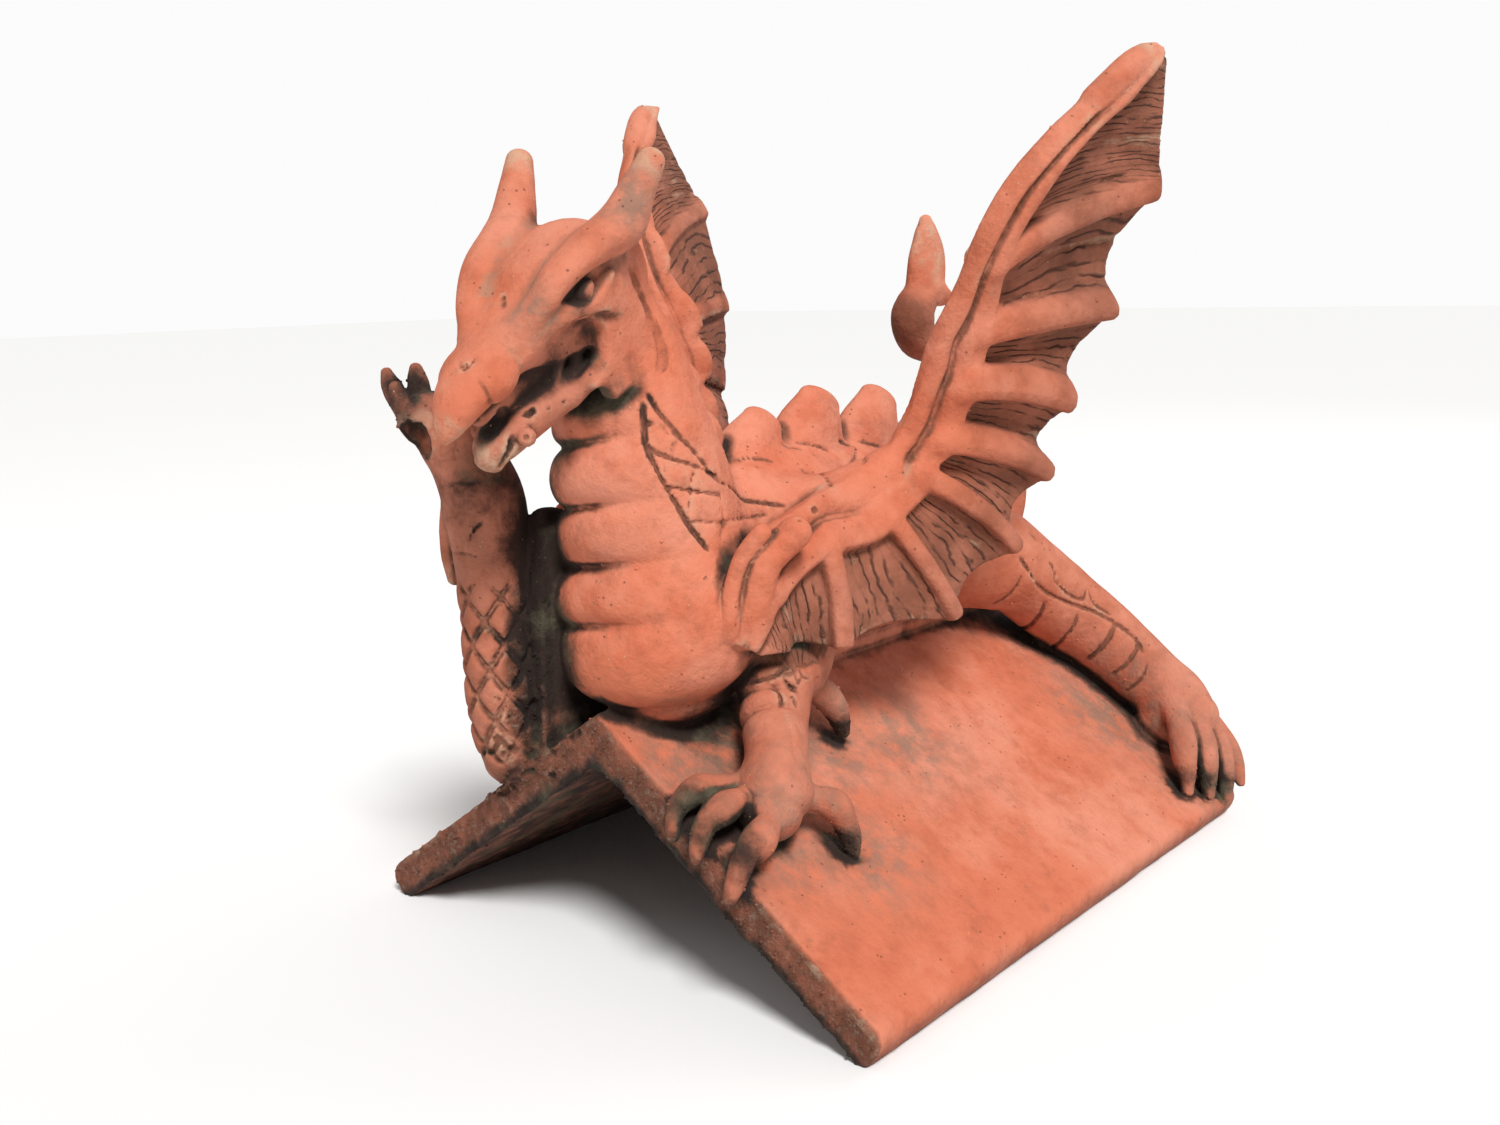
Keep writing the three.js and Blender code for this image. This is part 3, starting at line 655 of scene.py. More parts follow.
# The leading edge: thin rim, drawn groove, and the thick bar that the ribs grow out of
def wingLip(out, line):
    rim = wingShape["rim"] * np.sqrt(np.clip(1 - ((out - 0.5) / wingShape["rimHalfWidth"]) ** 2, 0, 1))
    half = wingShape["barHalfWidth"] + 1.2 * smoothstep(line, 2, 4)[:, None]
    across = np.abs((out - wingShape["barStart"] - half) / half)
    bar = wingShape["bar"] * np.clip(1 - across ** 2.8, 0, 1) ** 0.55
    return np.maximum(rim, bar), smoothstep(out, 19, 28)


# Ribs that fall away gently above and steeply below
def wingRibs(line, v, out, spacing, fan):
    ribs = np.zeros_like(v)
    for number, height in enumerate(fan[:, 9]):
        if height == 0:
            continue
        offset = (line[:, None] - number) * spacing
        flare = 1 + 0.6 * bump(out, 20, 10)
        above = wingShape["upperSlope"] if number < 7 else wingShape["lowerSlope"] * 1.2
        width = np.where(offset > 0, wingShape["lowerSlope"], above) * flare
        profile = np.clip(1 - np.abs(offset / width) ** 2.2, 0, 1) ** 0.8
        ribs = np.maximum(ribs, height * (1 - 0.25 * v) * profile)
    return ribs


def wingWrinkles(line, v, ribs, spacing, last, random):
    wrinkle = np.zeros_like(v)
    for bay in range(1, last - 1):
        for number in range(wingShape["wrinkles"]):
            centre = bay + (number + 0.5 + random.uniform(-0.35, 0.35)) / wingShape["wrinkles"]
            bend = 0.05 * np.sin(v * random.uniform(3, 6) + random.uniform(0, 6))
            offset = (line[:, None] - centre - bend) * spacing
            start, stop = random.uniform(0.2, 0.5), random.uniform(0.85, 1.35)
            here = smoothstep(v, start, start + 0.12) * (1 - smoothstep(v, stop - 0.1, stop))
            width = wingShape["wrinkleWidth"] * random.uniform(0.8, 1.5)
            wrinkle += wingShape["wrinkleDepth"] * random.uniform(0.4, 1.1) * bump(offset, 0, width) * here
    return np.minimum(wrinkle, 2.4) * (1 - smoothstep(ribs, 2.0, 5.0))


def sheetFaces(rows, columns):
    quads = []

    def addQuads(*corners):
        quads.append(np.column_stack([(i * columns + j) * 2 + face for i, j, face in corners]))

    i, j = (grid.ravel() for grid in np.meshgrid(np.arange(rows - 1), np.arange(columns - 1), indexing="ij"))
    addQuads((i, j, 0), (i + 1, j, 0), (i + 1, j + 1, 0), (i, j + 1, 0))
    addQuads((i, j, 1), (i, j + 1, 1), (i + 1, j + 1, 1), (i + 1, j, 1))
    i, j = np.arange(rows - 1), np.arange(columns - 1)
    for column, one, two in ((0, 1, 0), (columns - 1, 0, 1)):
        addQuads((i, column, one), (i + 1, column, one), (i + 1, column, two), (i, column, two))
    for row, one, two in ((0, 0, 1), (rows - 1, 1, 0)):
        addQuads((row, j, one), (row, j + 1, one), (row, j + 1, two), (row, j, two))
    return np.vstack(quads)


def modelWings():
    for side, seed in ((1, 11), (-1, 12)):
        place = plain if side > 0 else mirrored
        add(wingMesh(side, seed), 3, "wing")
        grow([[176, 236, 326, 8, 8], [187, 254, 344, 8, 8], [192.5, 265, 351, 7, 7]], 3, "wing", place)
        grow([
            [24, 128, 88, 34, 30], [54, 148, 98, 26, 24], [78, 170, 120, 12, 13],
        ], 9, "body", place)
        # The bar and its rim come down the chest as two rounded fingers
        grow([[84, 76, 98, 9], [74, 64, 84, 9.5], [69, 61, 66, 9.5], [64, 60, 50, 9], [62, 59, 42, 8]],
             2, "body", place)
        grow([[76, 58, 100, 5], [67, 52, 86, 5], [62, 48, 68, 5.2], [60.5, 47, 52, 5.2], [59, 47, 44, 4.8]],
             1.5, "body", place)
    print("wings modelled")


# Legs, arm and tail

def claw(points, radii, place):
    return limb([[*point, radius] for point, radius in zip(points, radii)], place, (1, 0, 0.2), sides=32,
                ends=(0.6, 0.9))


# Raised bands across the front of a limb, at distances along it
def bandsAt(places, height, facing):
    places = np.array(places, float)

    def swell(along, angle, outward, rings):
        nearest = np.min(np.abs(along[..., None] - places), axis=-1)
        return smoothstep(facing(outward), -0.1, 0.4) * (height - 2 * height * bump(nearest, 0, 2.6))
    return swell


def modelStandingLeg():
    grow([[34, 88, 48, 30, 30], [48, 112, 12, 26, 24]], 7, "leg")
    bands = bandsAt([30, 47, 62, 77], 1.3, lambda outward: -outward[..., 1] + 0.3 * outward[..., 0])
    grow([
        [52, 112, 56, 25], [54, 97, 50, 23], [64, 81, 37, 19], [80, 62, 31, 17], [90, 47, 25, 21],
        [93, 40, 19, 17],
    ], 4, "leg", overSlope, fineness=1.2, sides=64, swell=bands)
    for points, radii in (
        ([[82, 46, 22], [74, 28, 19], [67, 12, 15], [66, 0, 11], [66, -7, 5], [69, -12, -2]],
         [10, 6.2, 8.4, 6.6, 5.4, 3.6]),
        ([[87, 44, 23], [85, 27, 22], [83, 12, 19], [81, 1, 13], [82, -6, 6], [84, -12, -1]],
         [10, 6.6, 9.2, 7, 5.8, 3.8]),
        ([[95, 44, 24], [101, 28, 24], [105, 14, 21], [105, 3, 16], [106, -5, 8], [107, -12, 0]],
         [11, 7.2, 9.8, 7.4, 6, 3.8]),
        ([[94, 56, 24], [102, 67, 26], [108, 76, 25], [112, 79, 19], [115, 81, 12], [117, 82, 4]],
         [11, 7.2, 8.8, 7, 6, 3.8]),
        ([[48, 112, 44], [54, 124, 37], [59, 134, 32], [62, 142, 22], [63, 147, 9]], [10, 8.5, 9, 8, 4.5]),
    ):
        add(claw(points, radii, overSlope), 2.5, "leg")
    print("standing leg modelled")


def modelRaisedArm():
    grow([[-36, 84, 50, 30, 30], [-54, 56, 8, 24, 24], [-66, 14, -34, 21, 21]], 8, "arm")
    around, length, groove = 6, 27.0, 0.08

    def scales(along, angle, outward, rings):
        turn = angle / (2 * math.pi) * around
        one = (along / length + turn + 0.25) % 1
        two = (along / length - turn + 0.25) % 1
        nearest = np.minimum(np.minimum(one, 1 - one), np.minimum(two, 1 - two))
        here = smoothstep(along, 16, 26) * (1 - smoothstep(rings[..., 2], 62, 78))
        return here * (1.2 * smoothstep(nearest, 0.05, 0.3) - 3.6 * bump(nearest, 0, groove))

    grow([
        [-66, 2, -34, 19], [-66, -3, -10, 21], [-67, -5, 20, 20.5], [-69, -4, 52, 19.5, 21],
        [-71, -3, 80, 20.5, 23], [-74, -4, 112, 22, 24], [-78.5, -10, 134, 20.5, 21],
        [-86, -18, 150, 19, 17], [-94, -26, 161, 14.5, 18],
    ], 4, "arm", up=(0, 1, 0), sides=128, fineness=1.0, swell=scales)
    for points, radii in (
        ([[-98, -27, 154], [-108, -29, 167], [-116, -30, 178], [-120, -30, 186]], [8.5, 6.5, 6.5, 4]),
        ([[-96, -22, 156], [-102, -21, 170], [-106, -20, 180], [-108, -19, 188]], [8.5, 6.5, 6.5, 4]),
        ([[-92, -32, 154], [-94, -38, 165], [-96, -41, 173], [-98, -42, 180]], [7.5, 6, 6, 4]),
        ([[-88, -14, 114], [-92, -14, 98], [-94, -13, 82], [-93, -13, 69]], [7.5, 7, 6.5, 4.5]),
    ):
        add(claw(points, radii, plain), 2, "arm")
    carve(lump([-92, -34, 152], [10, 8, 13]), 4)
    print("raised arm modelled")


# Web of clay between the chest and the raised arm, flush with the tile's end
webMiddle = -42.5


def modelWeb():
    grow([
        [webMiddle, 32, -40, 6.5, 33], [webMiddle, 32, 0, 6.5, 32], [webMiddle, 33, 60, 6.5, 31],
        [webMiddle, 36, 96, 6, 28],
    ], 3.5, "web", up=(0, 1, 0), square=7, ends=(0.4, 0.8))
    grow([
        [-50, 20, -30, 7, 17], [-50, 20, 30, 7, 16], [-51, 20, 70, 6.5, 15], [-51, 24, 104, 6, 12],
    ], 3.5, "web", up=(0, 1, 0), square=4, ends=(0.4, 0.8))


def modelHindLeg(side):
    place = overCorner(side)
    mirror = plain if side > 0 else mirrored
    grow([[24, 340, 42, 36, 40], [38, 368, 30, 32, 34]], 9, "leg", mirror)
    grow([
        [153, 84, 66, 32, 30], [130, 38, 40, 31, 29], [109, 20, 34, 28, 25], [86, 15, 32, 26, 22],
        [62, 15, 33, 24, 20], [44, 16, 37, 21, 20], [30, 18, 36, 17, 17],
    ], 5, "leg", place, (0, 1, 0), sides=72)
    add(lump([50, 22, 16], [20, 14, 18], place), 6, "leg")
    for points, radii in (
        ([[42, 26, 37], [33, 37, 34], [26, 46, 29], [20, 54, 18], [16, 59, 4]], [11, 8.5, 9.5, 8, 4.5]),
        ([[36, 18, 39], [25, 25, 36], [17, 31, 30], [11, 37, 19], [8, 41, 4]], [11, 8, 9, 7.5, 4.5]),
        ([[33, 12, 39], [22, 13, 35], [12, 16, 29], [5, 20, 17], [2, 23, 3]], [10.5, 7.5, 8.5, 7, 4.5]),
        ([[38, 2, 33], [24, -3, 27], [14, -5, 20], [7, -4, 13], [3, -3, 4]], [9.5, 8, 8, 6.5, 4]),
    ):
        add(claw(points, radii, place), 2, "leg")


# Tail: up from the rump and forward again to a coil with an upright blade
def modelTail():
    grow([
        [0, 404, 36, 28], [0, 434, 64, 22], [0, 438, 108, 18], [0, 412, 148, 16], [0, 372, 172, 14],
        [0, 342, 186, 13],
    ], 8, "leg", up=(1, 0, 0))
    grow([[0, 350, 184, 13, 13], [0, 326, 190, 13, 14], [0, 320, 206, 14, 15], [0, 330, 218, 13, 12]],
         3, "web", up=(1, 0, 0))
    grow([[0, 322, 216, 12, 9], [0, 338, 224, 12, 8], [0, 354, 218, 10, 7]], 2, "head", up=(0, 0, 1))
    grow([
        [0, 334, 218, 11, 18], [0, 338, 244, 8, 20], [0, 337, 262, 6, 11], [0, 336, 270, 4, 5],
    ], 2.5, "head", up=(0, 1, 0), ends=(0.7, 0.9))
    print("tail modelled")


# Lines that the maker drew in the clay: width, depth and the photograph's pixels that each line runs through
drawnLines = {
    "beak": [
        (2.6, 1.8, [(457, 356), (463, 368), (467, 367), (480, 356)]),
        (2.4, 1.4, [(463, 368), (451, 373), (440, 382)]),
        (2.2, 1.4, [(473, 375), (483, 387), (490, 401), (493, 408)]),
    ],
    "jaw": [
        (2.6, 2.2, [(514, 433), (511, 447), (505, 459), (498, 471)]),
    ],
    "forehead": [
        (2.0, 1.2, [(475, 318), (479, 327)]), (2.0, 1.3, [(502, 290), (506, 309)]),
        (2.0, 1.0, [(499, 296), (504, 311)]),
    ],
    "neck": [
        (2.4, 2.2, [(643, 400), (644, 423), (647, 447), (661, 478), (679, 508), (692, 529), (711, 553)]),
        (2.2, 1.8, [(646, 391), (660, 413), (680, 436), (700, 458), (718, 480), (738, 495),
         (760, 502), (788, 506)]),
    ],
    "row": [
        (2.0, 1.7, [(644, 420), (650, 424), (657, 419)]),
        (2.2, 1.8, [(647, 447), (660, 454), (680, 461), (698, 467), (722, 480)]),
        (2.2, 1.8, [(664, 485), (680, 489), (700, 492), (722, 495)]),
        (1.9, 1.5, [(688, 521), (708, 522), (724, 522), (748, 517), (770, 513)]),
        (1.8, 1.4, [(657, 419), (664, 428), (674, 437)]),
    ],
    "column": [
        (1.9, 1.5, [(678, 437), (673, 447), (670, 458)]), (1.7, 1.3, [(668, 460), (664, 470), (661, 480)]),
        (1.9, 1.5, [(695, 468), (692, 480), (690, 490), (688, 518)]),
        (1.9, 1.4, [(718, 484), (721, 500), (724, 520), (719, 542)]),
        (1.8, 1.3, [(738, 497), (741, 505), (744, 515)]),
    ],
    "wrist": [
        (2.4, 1.0, [(446, 486), (460, 484), (474, 483), (486, 481)]),
    ],
    "spur": [
        (2.4, 1.2, [(451, 552), (465, 554), (484, 558)]),
    ],
    "thumb": [
        (2.6, 1.8, [(468, 545), (474, 530), (485, 521)]),
    ],
    "elbow": [
        (2.8, 2.0, [(482, 764), (492, 752), (507, 748), (518, 757), (519, 772), (512, 788), (500, 794),
         (488, 788),
         (481, 776), (482, 764)]),
    ],
    "thigh": [
        (2.8, 1.8, [(747, 683), (762, 680), (776, 675), (793, 660)]),
    ],
    "tuft": [
        (2.4, 2.0, [(772, 684), (781, 699), (780, 709)]), (2.4, 2.0, [(781, 676), (793, 690), (797, 684)]),
        (2.4, 1.8, [(788, 692), (796, 706), (797, 698)]), (2.4, 1.8, [(791, 663), (798, 683), (803, 674)]),
        (2.2, 1.6, [(800, 663), (804, 677), (813, 677)]),
    ],
    "shin": [
        (2.2, 1.2, [(785, 709), (791, 733), (796, 760)]),
    ],
    "hind": [
        (2.6, 1.9, [(1018, 555), (1040, 587), (1066, 602), (1095, 612), (1119, 625),
         (1136, 639), (1144, 655)]),
        (3.0, 1.8, [(1024, 572), (1012, 592), (990, 606)]),
        (3.0, 1.8, [(1046, 600), (1040, 614), (1028, 627), (1014, 634)]),
        (3.0, 1.8, [(1080, 610), (1074, 626), (1062, 640), (1050, 648)]),
        (3.0, 1.8, [(1114, 624), (1109, 638), (1098, 651), (1085, 661)]),
        (3.0, 1.8, [(1139, 643), (1133, 655), (1123, 667), (1110, 676)]),
        (2.6, 1.6, [(1148, 660), (1144, 673), (1136, 684), (1124, 692)]),
        (2.6, 1.8, [(1048, 559), (1054, 570), (1056, 582), (1070, 595), (1083, 599), (1086, 587)]),
        (2.6, 1.8, [(1087, 589), (1095, 604), (1113, 616)]),
        (2.4, 1.4, [(1026, 530), (1034, 536), (1040, 543)]),
    ],
    "back": [
        (2.4, 1.3, [(780, 442), (796, 448), (805, 452)]), (2.4, 1.4, [(802, 466), (822, 474), (832, 487)]),
        (2.6, 1.6, [(838, 440), (856, 450), (866, 464)]),
    ],
    "horn": [
        (2.2, 1.2, [(520, 193), (524, 188), (529, 186)]),
    ],
}
mirroredLines = ["neck", "row", "column", "hind"]
# Small holes and chips: radius and pixels
hollows = {
    "toothHole": (2.3, [(526, 437)]),
    "jawNotch": (2.2, [(527, 414), (533, 411)]),
    "chipOne": (2.6, [(815, 510)]),
    "chipTwo": (2.0, [(800, 520)]),
    "jawPit": (1.4, [(549, 408), (564, 402)]),
    "toePits": (1.3, [(789, 811), (834, 809)]),
}


def drawLines():
    behindCheek = [[30, -24, 13], [30, -22, 2], [30, -20, -14], [29, -15, -28], [28, -4, -41], [27, 8, -46]]
    for place in (inHead, inHeadMirrored):
        incise(place(behindCheek), width=8.0, depth=2.8, fade=12.0)
    for name, group in drawnLines.items():
        for width, depth, pixels in group:
            points = seen(pixels)
            incise(points, width, depth)
            if name in mirroredLines:
                incise(mirrored(points), width, depth)
    for radius, pixels in hollows.values():
        pressBalls(seen(pixels), radius)
    print("lines drawn")


# Unevenness of hand-worked clay, and rough broken faces at the tile's ends and the web
unevenness = {
    "hand": (26.0, 0.5, 3),
    "fingers": (11.0, 0.25, 4),
    "roughGrain": (5.0, 0.8, 6),
    "roughChips": (13.0, 0.8, 7),
}


def roughMask(points):
    x, y, z = points[:, 0], points[:, 1], points[:, 2]
    slopeOver = z + np.abs(x) * math.tan(tile["pitch"])
    inTile = smoothstep(-slopeOver, -6.0, 0.0)
    end = np.maximum(1 - smoothstep(y, 1.5, 6.0), smoothstep(y, tile["length"] - 6, tile["length"] - 1.5))
    web = (1 - smoothstep(np.abs(x - webMiddle), 5.5, 9.0)) * (1 - smoothstep(y, 5, 11))
    web *= smoothstep(z, -50, -30)
    web *= 1 - smoothstep(z, 104, 118)
    return np.clip(np.maximum.reduce([inTile * end, web, 0.7 * spots(points, clawEnds)]), 0, 1)


def undersideMask(points):
    return smoothstep(-(points[:, 2] + np.abs(points[:, 0]) * math.tan(tile["pitch"])), 16.0, 26.0)


# The tile's underside and lower edges are coarse too, but not broken
def coarseMask(points):
    underside = undersideMask(points)
    foot = 1 - smoothstep(points[:, 2] + ridgeHeight, 3.0, 20.0)
    return np.maximum(0.5 * underside, 0.6 * foot)


def weatherClay():
    for start in range(0, clay.shape[1], 40):
        part = clay[:, start:start + 40]
        near = np.argwhere(np.abs(part) < 4.0)
        if not len(near):
            continue
        points = (near + [0, start, 0] + firstCell) * step
        moved = sum(height * noise(points, size, seed)
                    for size, height, seed in (unevenness[key] for key in ("hand", "fingers")))
        rough = roughMask(points)
        broken = rough > 0.02
        for key in ("roughGrain", "roughChips"):
            size, height, seed = unevenness[key]
            moved[broken] += rough[broken] * height * (noise(points[broken], size, seed) + 0.35)
        part[tuple(near.T)] += moved
    print("clay weathered")


# Nothing stands outside the solid's own box
def trimToBox():
    low, high = toClay(cadLow) + 0.4, toClay(cadHigh) - 0.4
    for axis in range(3):
        place = (np.arange(clay.shape[axis]) + firstCell[axis]) * step
        beyond = np.maximum(low[axis] - place, place - high[axis]).astype(np.float32)
        shape = [1, 1, 1]
        shape[axis] = -1
        np.maximum(clay, beyond.reshape(shape), out=clay)


def surfaceMesh():
    grid = vdb.FloatGrid(sculpt["band"])
    grid.copyFromArray(clay, tolerance=0)
    grid.transform = vdb.createLinearTransform(voxelSize=step)
    points, triangles, quads = grid.convertToPolygons(isovalue=0.0, adaptivity=0.0)
    points = points + firstCell * step
    mesh = bpy.data.meshes.new("dragonRidgeTile")
    corners = np.concatenate([quads[:, ::-1].ravel(), triangles[:, ::-1].ravel()]).astype(np.int32)
    mesh.vertices.add(len(points))
    mesh.vertices.foreach_set("co", toMetres(points).astype(np.float32).ravel())
    mesh.loops.add(len(corners))
    mesh.loops.foreach_set("vertex_index", corners)
    mesh.polygons.add(len(quads) + len(triangles))
    starts = np.concatenate([np.arange(len(quads)) * 4, quads.size + np.arange(len(triangles)) * 3])
    mesh.polygons.foreach_set("loop_start", starts.astype(np.int32))
    mesh.update(calc_edges=True)
    print("surface has", len(points), "points")
    return mesh


def plainMesh(piece):
    made = bpy.data.meshes.new_from_object(piece.evaluated_get(bpy.context.evaluated_depsgraph_get()))
    old = piece.data
    piece.modifiers.clear()
    piece.data = made
    bpy.data.meshes.remove(old)


def addObject(name, data):
    item = bpy.data.objects.new(name, data)
    bpy.context.scene.collection.objects.link(item)
    return item


def thinMesh(piece):
    faces = sum(len(polygon.vertices) - 2 for polygon in piece.data.polygons)
    thin = piece.modifiers.new("thin", "DECIMATE")
    thin.ratio = min(1.0, sculpt["triangles"] / faces)
    plainMesh(piece)
    print("thinned to", len(piece.data.polygons), "triangles")


# What the material reads at each point of the surface
def setAttribute(mesh, name, values):
    layer = mesh.attributes.new(name, "FLOAT", "POINT")
    layer.data.foreach_set("value", np.clip(values, 0, 1).astype(np.float32))


def coarseClay(scale):
    size = [length // scale * scale for length in clay.shape]
    block = np.clip(clay[:size[0], :size[1], :size[2]], -step, step) / (2 * step) + 0.5
    shape = (size[0] // scale, scale, size[1] // scale, scale, size[2] // scale, scale)
    return block.reshape(shape).mean(axis=(1, 3, 5), dtype=np.float32)


# Share of open space within a cube round each coarse cell
def boxMean(values, reach):
    for axis in range(3):
        size = values.shape[axis]
        pad = [(0, 0)] * 3
        pad[axis] = (reach + 1, reach)
        total = np.cumsum(np.pad(values, pad, mode="edge"), axis=axis, dtype=np.float64)
        high = np.take(total, np.arange(size) + 2 * reach + 1, axis=axis)
        values = ((high - np.take(total, np.arange(size), axis=axis)) / (2 * reach + 1)).astype(np.float32)
    return values


# How far out a hollow is felt, how deep an edge is felt, and how the shelter round a place is measured
hollowReach = (2.5, 5.0, 9.0)
edgeProbeDepth = 2.6
shelterCube = {"above": 14, "reach": 30, "cells": 4}


def describeSurface(mesh):
    flat = np.empty(len(mesh.vertices) * 3)
    mesh.vertices.foreach_get("co", flat)
    points = toClay(flat.reshape(-1, 3))
    outward = slopeAt(points)
    hollow = np.zeros(len(points))
    for reach in hollowReach:
        hollow += np.clip(1 - clayAt(points + outward * reach) / reach, 0, 1.2) / len(hollowReach)
    edgeHighlight = np.clip(1 + clayAt(points - outward * edgeProbeDepth) / edgeProbeDepth, 0, 1)
    cells = ((points + outward * shelterCube["above"]) / step - firstCell + 0.5) / shelterCube["cells"] - 0.5
    reach = max(2, round(shelterCube["reach"] / (shelterCube["cells"] * step)))
    values = {
        "hollow": hollow,
        "shelter": 1 - readGrid(boxMean(coarseClay(shelterCube["cells"]), reach), cells),
        "edgeHighlight": edgeHighlight,
        "tone": readGrid(tone, points / step - firstCell),
        "rough": roughMask(points),
        "coarse": coarseMask(points),
        "pale": spots(points, paleTips),
        # Painted shadow: listed shaded spots and the tile's underside
        "paintedShadow": np.maximum(spots(points, paintedShadowSpots), 0.8 * undersideMask(points)),
        "dustAndShadeAt": spots(points, dustAndShadePlaces),
        **fanOf(points),
    }
    for name, value in values.items():
        setAttribute(mesh, name, value)
    print("surface described")


# Where each point lies on its wing: along the fan, out from the leading edge, and how much it is membrane
fanReading = {"margin": 14, "full": 9, "farthest": 15}


def fanOf(points):
    tree = KDTree(len(wingSheet["points"]))
    for number, point in enumerate(wingSheet["points"]):
        tree.insert(point, number)
    tree.balance()
    values = {name: np.zeros(len(points)) for name in ("fanLine", "fanReach", "membrane")}
    places = points.copy()
    places[:, 0] = np.abs(places[:, 0])
    low = wingSheet["points"].min(axis=0) - fanReading["margin"]
    high = wingSheet["points"].max(axis=0) + fanReading["margin"]
    near = np.flatnonzero(np.all((places > low) & (places < high), axis=1))
    for number in near:
        found = tree.find_n(places[number], 4)
        distance = found[0][2]
        if distance < fanReading["farthest"]:
            nearest = [item[1] for item in found]
            share = np.array([1 / (0.3 + item[2] - 0.9 * distance) ** 2 for item in found])
            share /= share.sum()
            for name, value in values.items():
                value[number] = wingSheet[name][nearest] @ share
            beyond = max(0.0, distance - fanReading["full"])
            values["membrane"][number] *= 1 - beyond / (fanReading["farthest"] - fanReading["full"])
    return values


# Pale worn tips, painted shadow in shaded corners, and dust with painted shade in sheltered places: where
# they are, how far they reach
def spotsOf(place, rows):
    rows = np.array(rows, float)
    return list(zip(place(rows[:, :3]), rows[:, 3]))


paleTips = spotsOf(plain, [
    (193, 268, 354, 14), (-193, 268, 354, 14), (0, 336, 258, 26), (0, 338, 226, 14), (-94, -13, 72, 9),
]) + spotsOf(inHead, [(45, -66, 44, 15), (-45, -66, 44, 15), (0, 92, 0, 20), (0, 100, 30, 12)])
clawEnds = spotsOf(overSlope, [
    (67, -2, 8, 15), (82, -2, 9, 15), (106, 0, 10, 15), (115, 80, 10, 13), (63, 144, 14, 13),
]) + spotsOf(plain, [(-112, -29, 178, 17), (-102, -26, 182, 14), (-97, -41, 174, 14)])
for side in (1, -1):
    clawEnds += spotsOf(overCorner(side), [(18, 56, 12, 12), (9, 39, 12, 12), (3, 22, 10, 12)])
# Painted shadow: the claw ends, the shaded left side of the chest and raised arm, under the jaw, in the
# mouth and round the eyes
paintedShadowSpots = clawEnds + spotsOf(plain, [
    (-30, 24, 20, 34), (-38, 20, 96, 30), (-112, -28, 176, 20), (-100, -26, 160, 16), (74, -6, -22, 26),
    (108, 0, -52, 22), (24, 60, -8, 26), (-20, 12, 140, 26), (0, 322, 204, 16), (-34, 8, 120, 26),
    (-38, 14, 80, 26), (-32, 12, 50, 26), (-22, 8, 24, 24), (-100, -30, 172, 30), (-70, -12, 128, 42),
    (-58, 0, 90, 26), (-56, 6, 40, 24), (14, 2, 180, 26),
]) + spotsOf(overSlope, [(84, 20, 12, 18)]) + spotsOf(inHead, [(0, 84, 8, 12)])
for place in (inHead, inHeadMirrored):
    paintedShadowSpots += spotsOf(place, [
        (4, 20, 12, 21), (5, 34, 5, 21), (4, 50, 6, 19), (36, 14, 29, 9), (13, 16, 14, 15), (15, 12, 2, 15),
    ])
# Dust and painted shade: at the feet and under the body, and two spots on the head
dustAndShadePlaces = spotsOf(plain, [
    (92, 46, -58, 42), (118, 92, -80, 34), (40, 36, -24, 34), (60, 130, -36, 44), (74, 200, -48, 40),
    (140, 416, -92, 40), (110, 400, -70, 44), (180, 430, -124, 34), (-60, 20, -42, 30),
]) + spotsOf(inHead, [(22, 32, 40, 12), (42, -40, 40, 20)])


def spots(points, places):
    value = np.zeros(len(points))
    for place, reach in places:
        value = np.maximum(value, np.exp(-(np.linalg.norm(points - np.asarray(place), axis=1) / reach) ** 2))
    return value


# Colours of the clay, its stains and wear, and of its painted shade and painted edge highlight
clayColours = {
    "salmon": (0.62, 0.220, 0.135, 1),
    "orange": (0.56, 0.150, 0.075, 1),
    "fired": (0.40, 0.082, 0.036, 1),
    "brown": (0.150, 0.052, 0.028, 1),
    "dark": (0.045, 0.018, 0.011, 1),
    "buff": (0.50, 0.330, 0.220, 1),
    "dustAndShade": (0.22, 0.145, 0.105, 1),
    # Near-black and greenish-black of the painted shade in deep and sheltered places
    "deepShade": (0.013, 0.009, 0.007, 1),
    "greenishShade": (0.070, 0.066, 0.040, 1),
}


# Nodes of a tree, made with their inputs linked or set
class Nodes:
    def __init__(self, tree):
        self.tree = tree

    def new(self, kind, inputs=None, **settings):
        node = self.tree.nodes.new(kind)
        for key, value in settings.items():
            setattr(node, key, value)
        for key, value in (inputs or {}).items():
            if isinstance(value, bpy.types.NodeSocket):
                self.tree.links.new(value, node.inputs[key])
            else:
                node.inputs[key].default_value = value
        return node

    def attribute(self, name):
        return self.new("ShaderNodeAttribute", attribute_name=name, attribute_type="GEOMETRY").outputs["Fac"]

    def noise(self, place, scale, detail=4.0, roughness=0.55):
        inputs = {"Vector": place, "Scale": scale, "Detail": detail, "Roughness": roughness}
        return self.new("ShaderNodeTexNoise", inputs).outputs["Fac"]

    def math(self, operation, one, two, clamp=False):
        return self.new("ShaderNodeMath", {0: one, 1: two}, operation=operation, use_clamp=clamp).outputs[0]

    def times(self, one, two, clamp=False):
        return self.math("MULTIPLY", one, two, clamp)

    def plus(self, one, two):
        return self.math("ADD", one, two)

    def ramp(self, value, low, high, toLow=0.0, toHigh=1.0):
        inputs = {"Value": value, "From Min": low, "From Max": high, "To Min": toLow, "To Max": toHigh}
        return self.new("ShaderNodeMapRange", inputs, interpolation_type="SMOOTHSTEP").outputs["Result"]

    # Colours are sockets or names from clayColours
    def mix(self, factor, one, two):
        one, two = (clayColours[colour] if isinstance(colour, str) else colour for colour in (one, two))
        return self.new("ShaderNodeMix", {0: factor, 6: one, 7: two}, data_type="RGBA").outputs[2]


# Grit on the broken faces and a few pellets elsewhere, as a tree of nodes
grit = {
    "Density rough": 26000.0,
    "Density smooth": 220.0,
    "Smallest": 0.0005,
    "Largest": 0.0013,
    "Seed": 5,
}
boxMargin = 0.0002


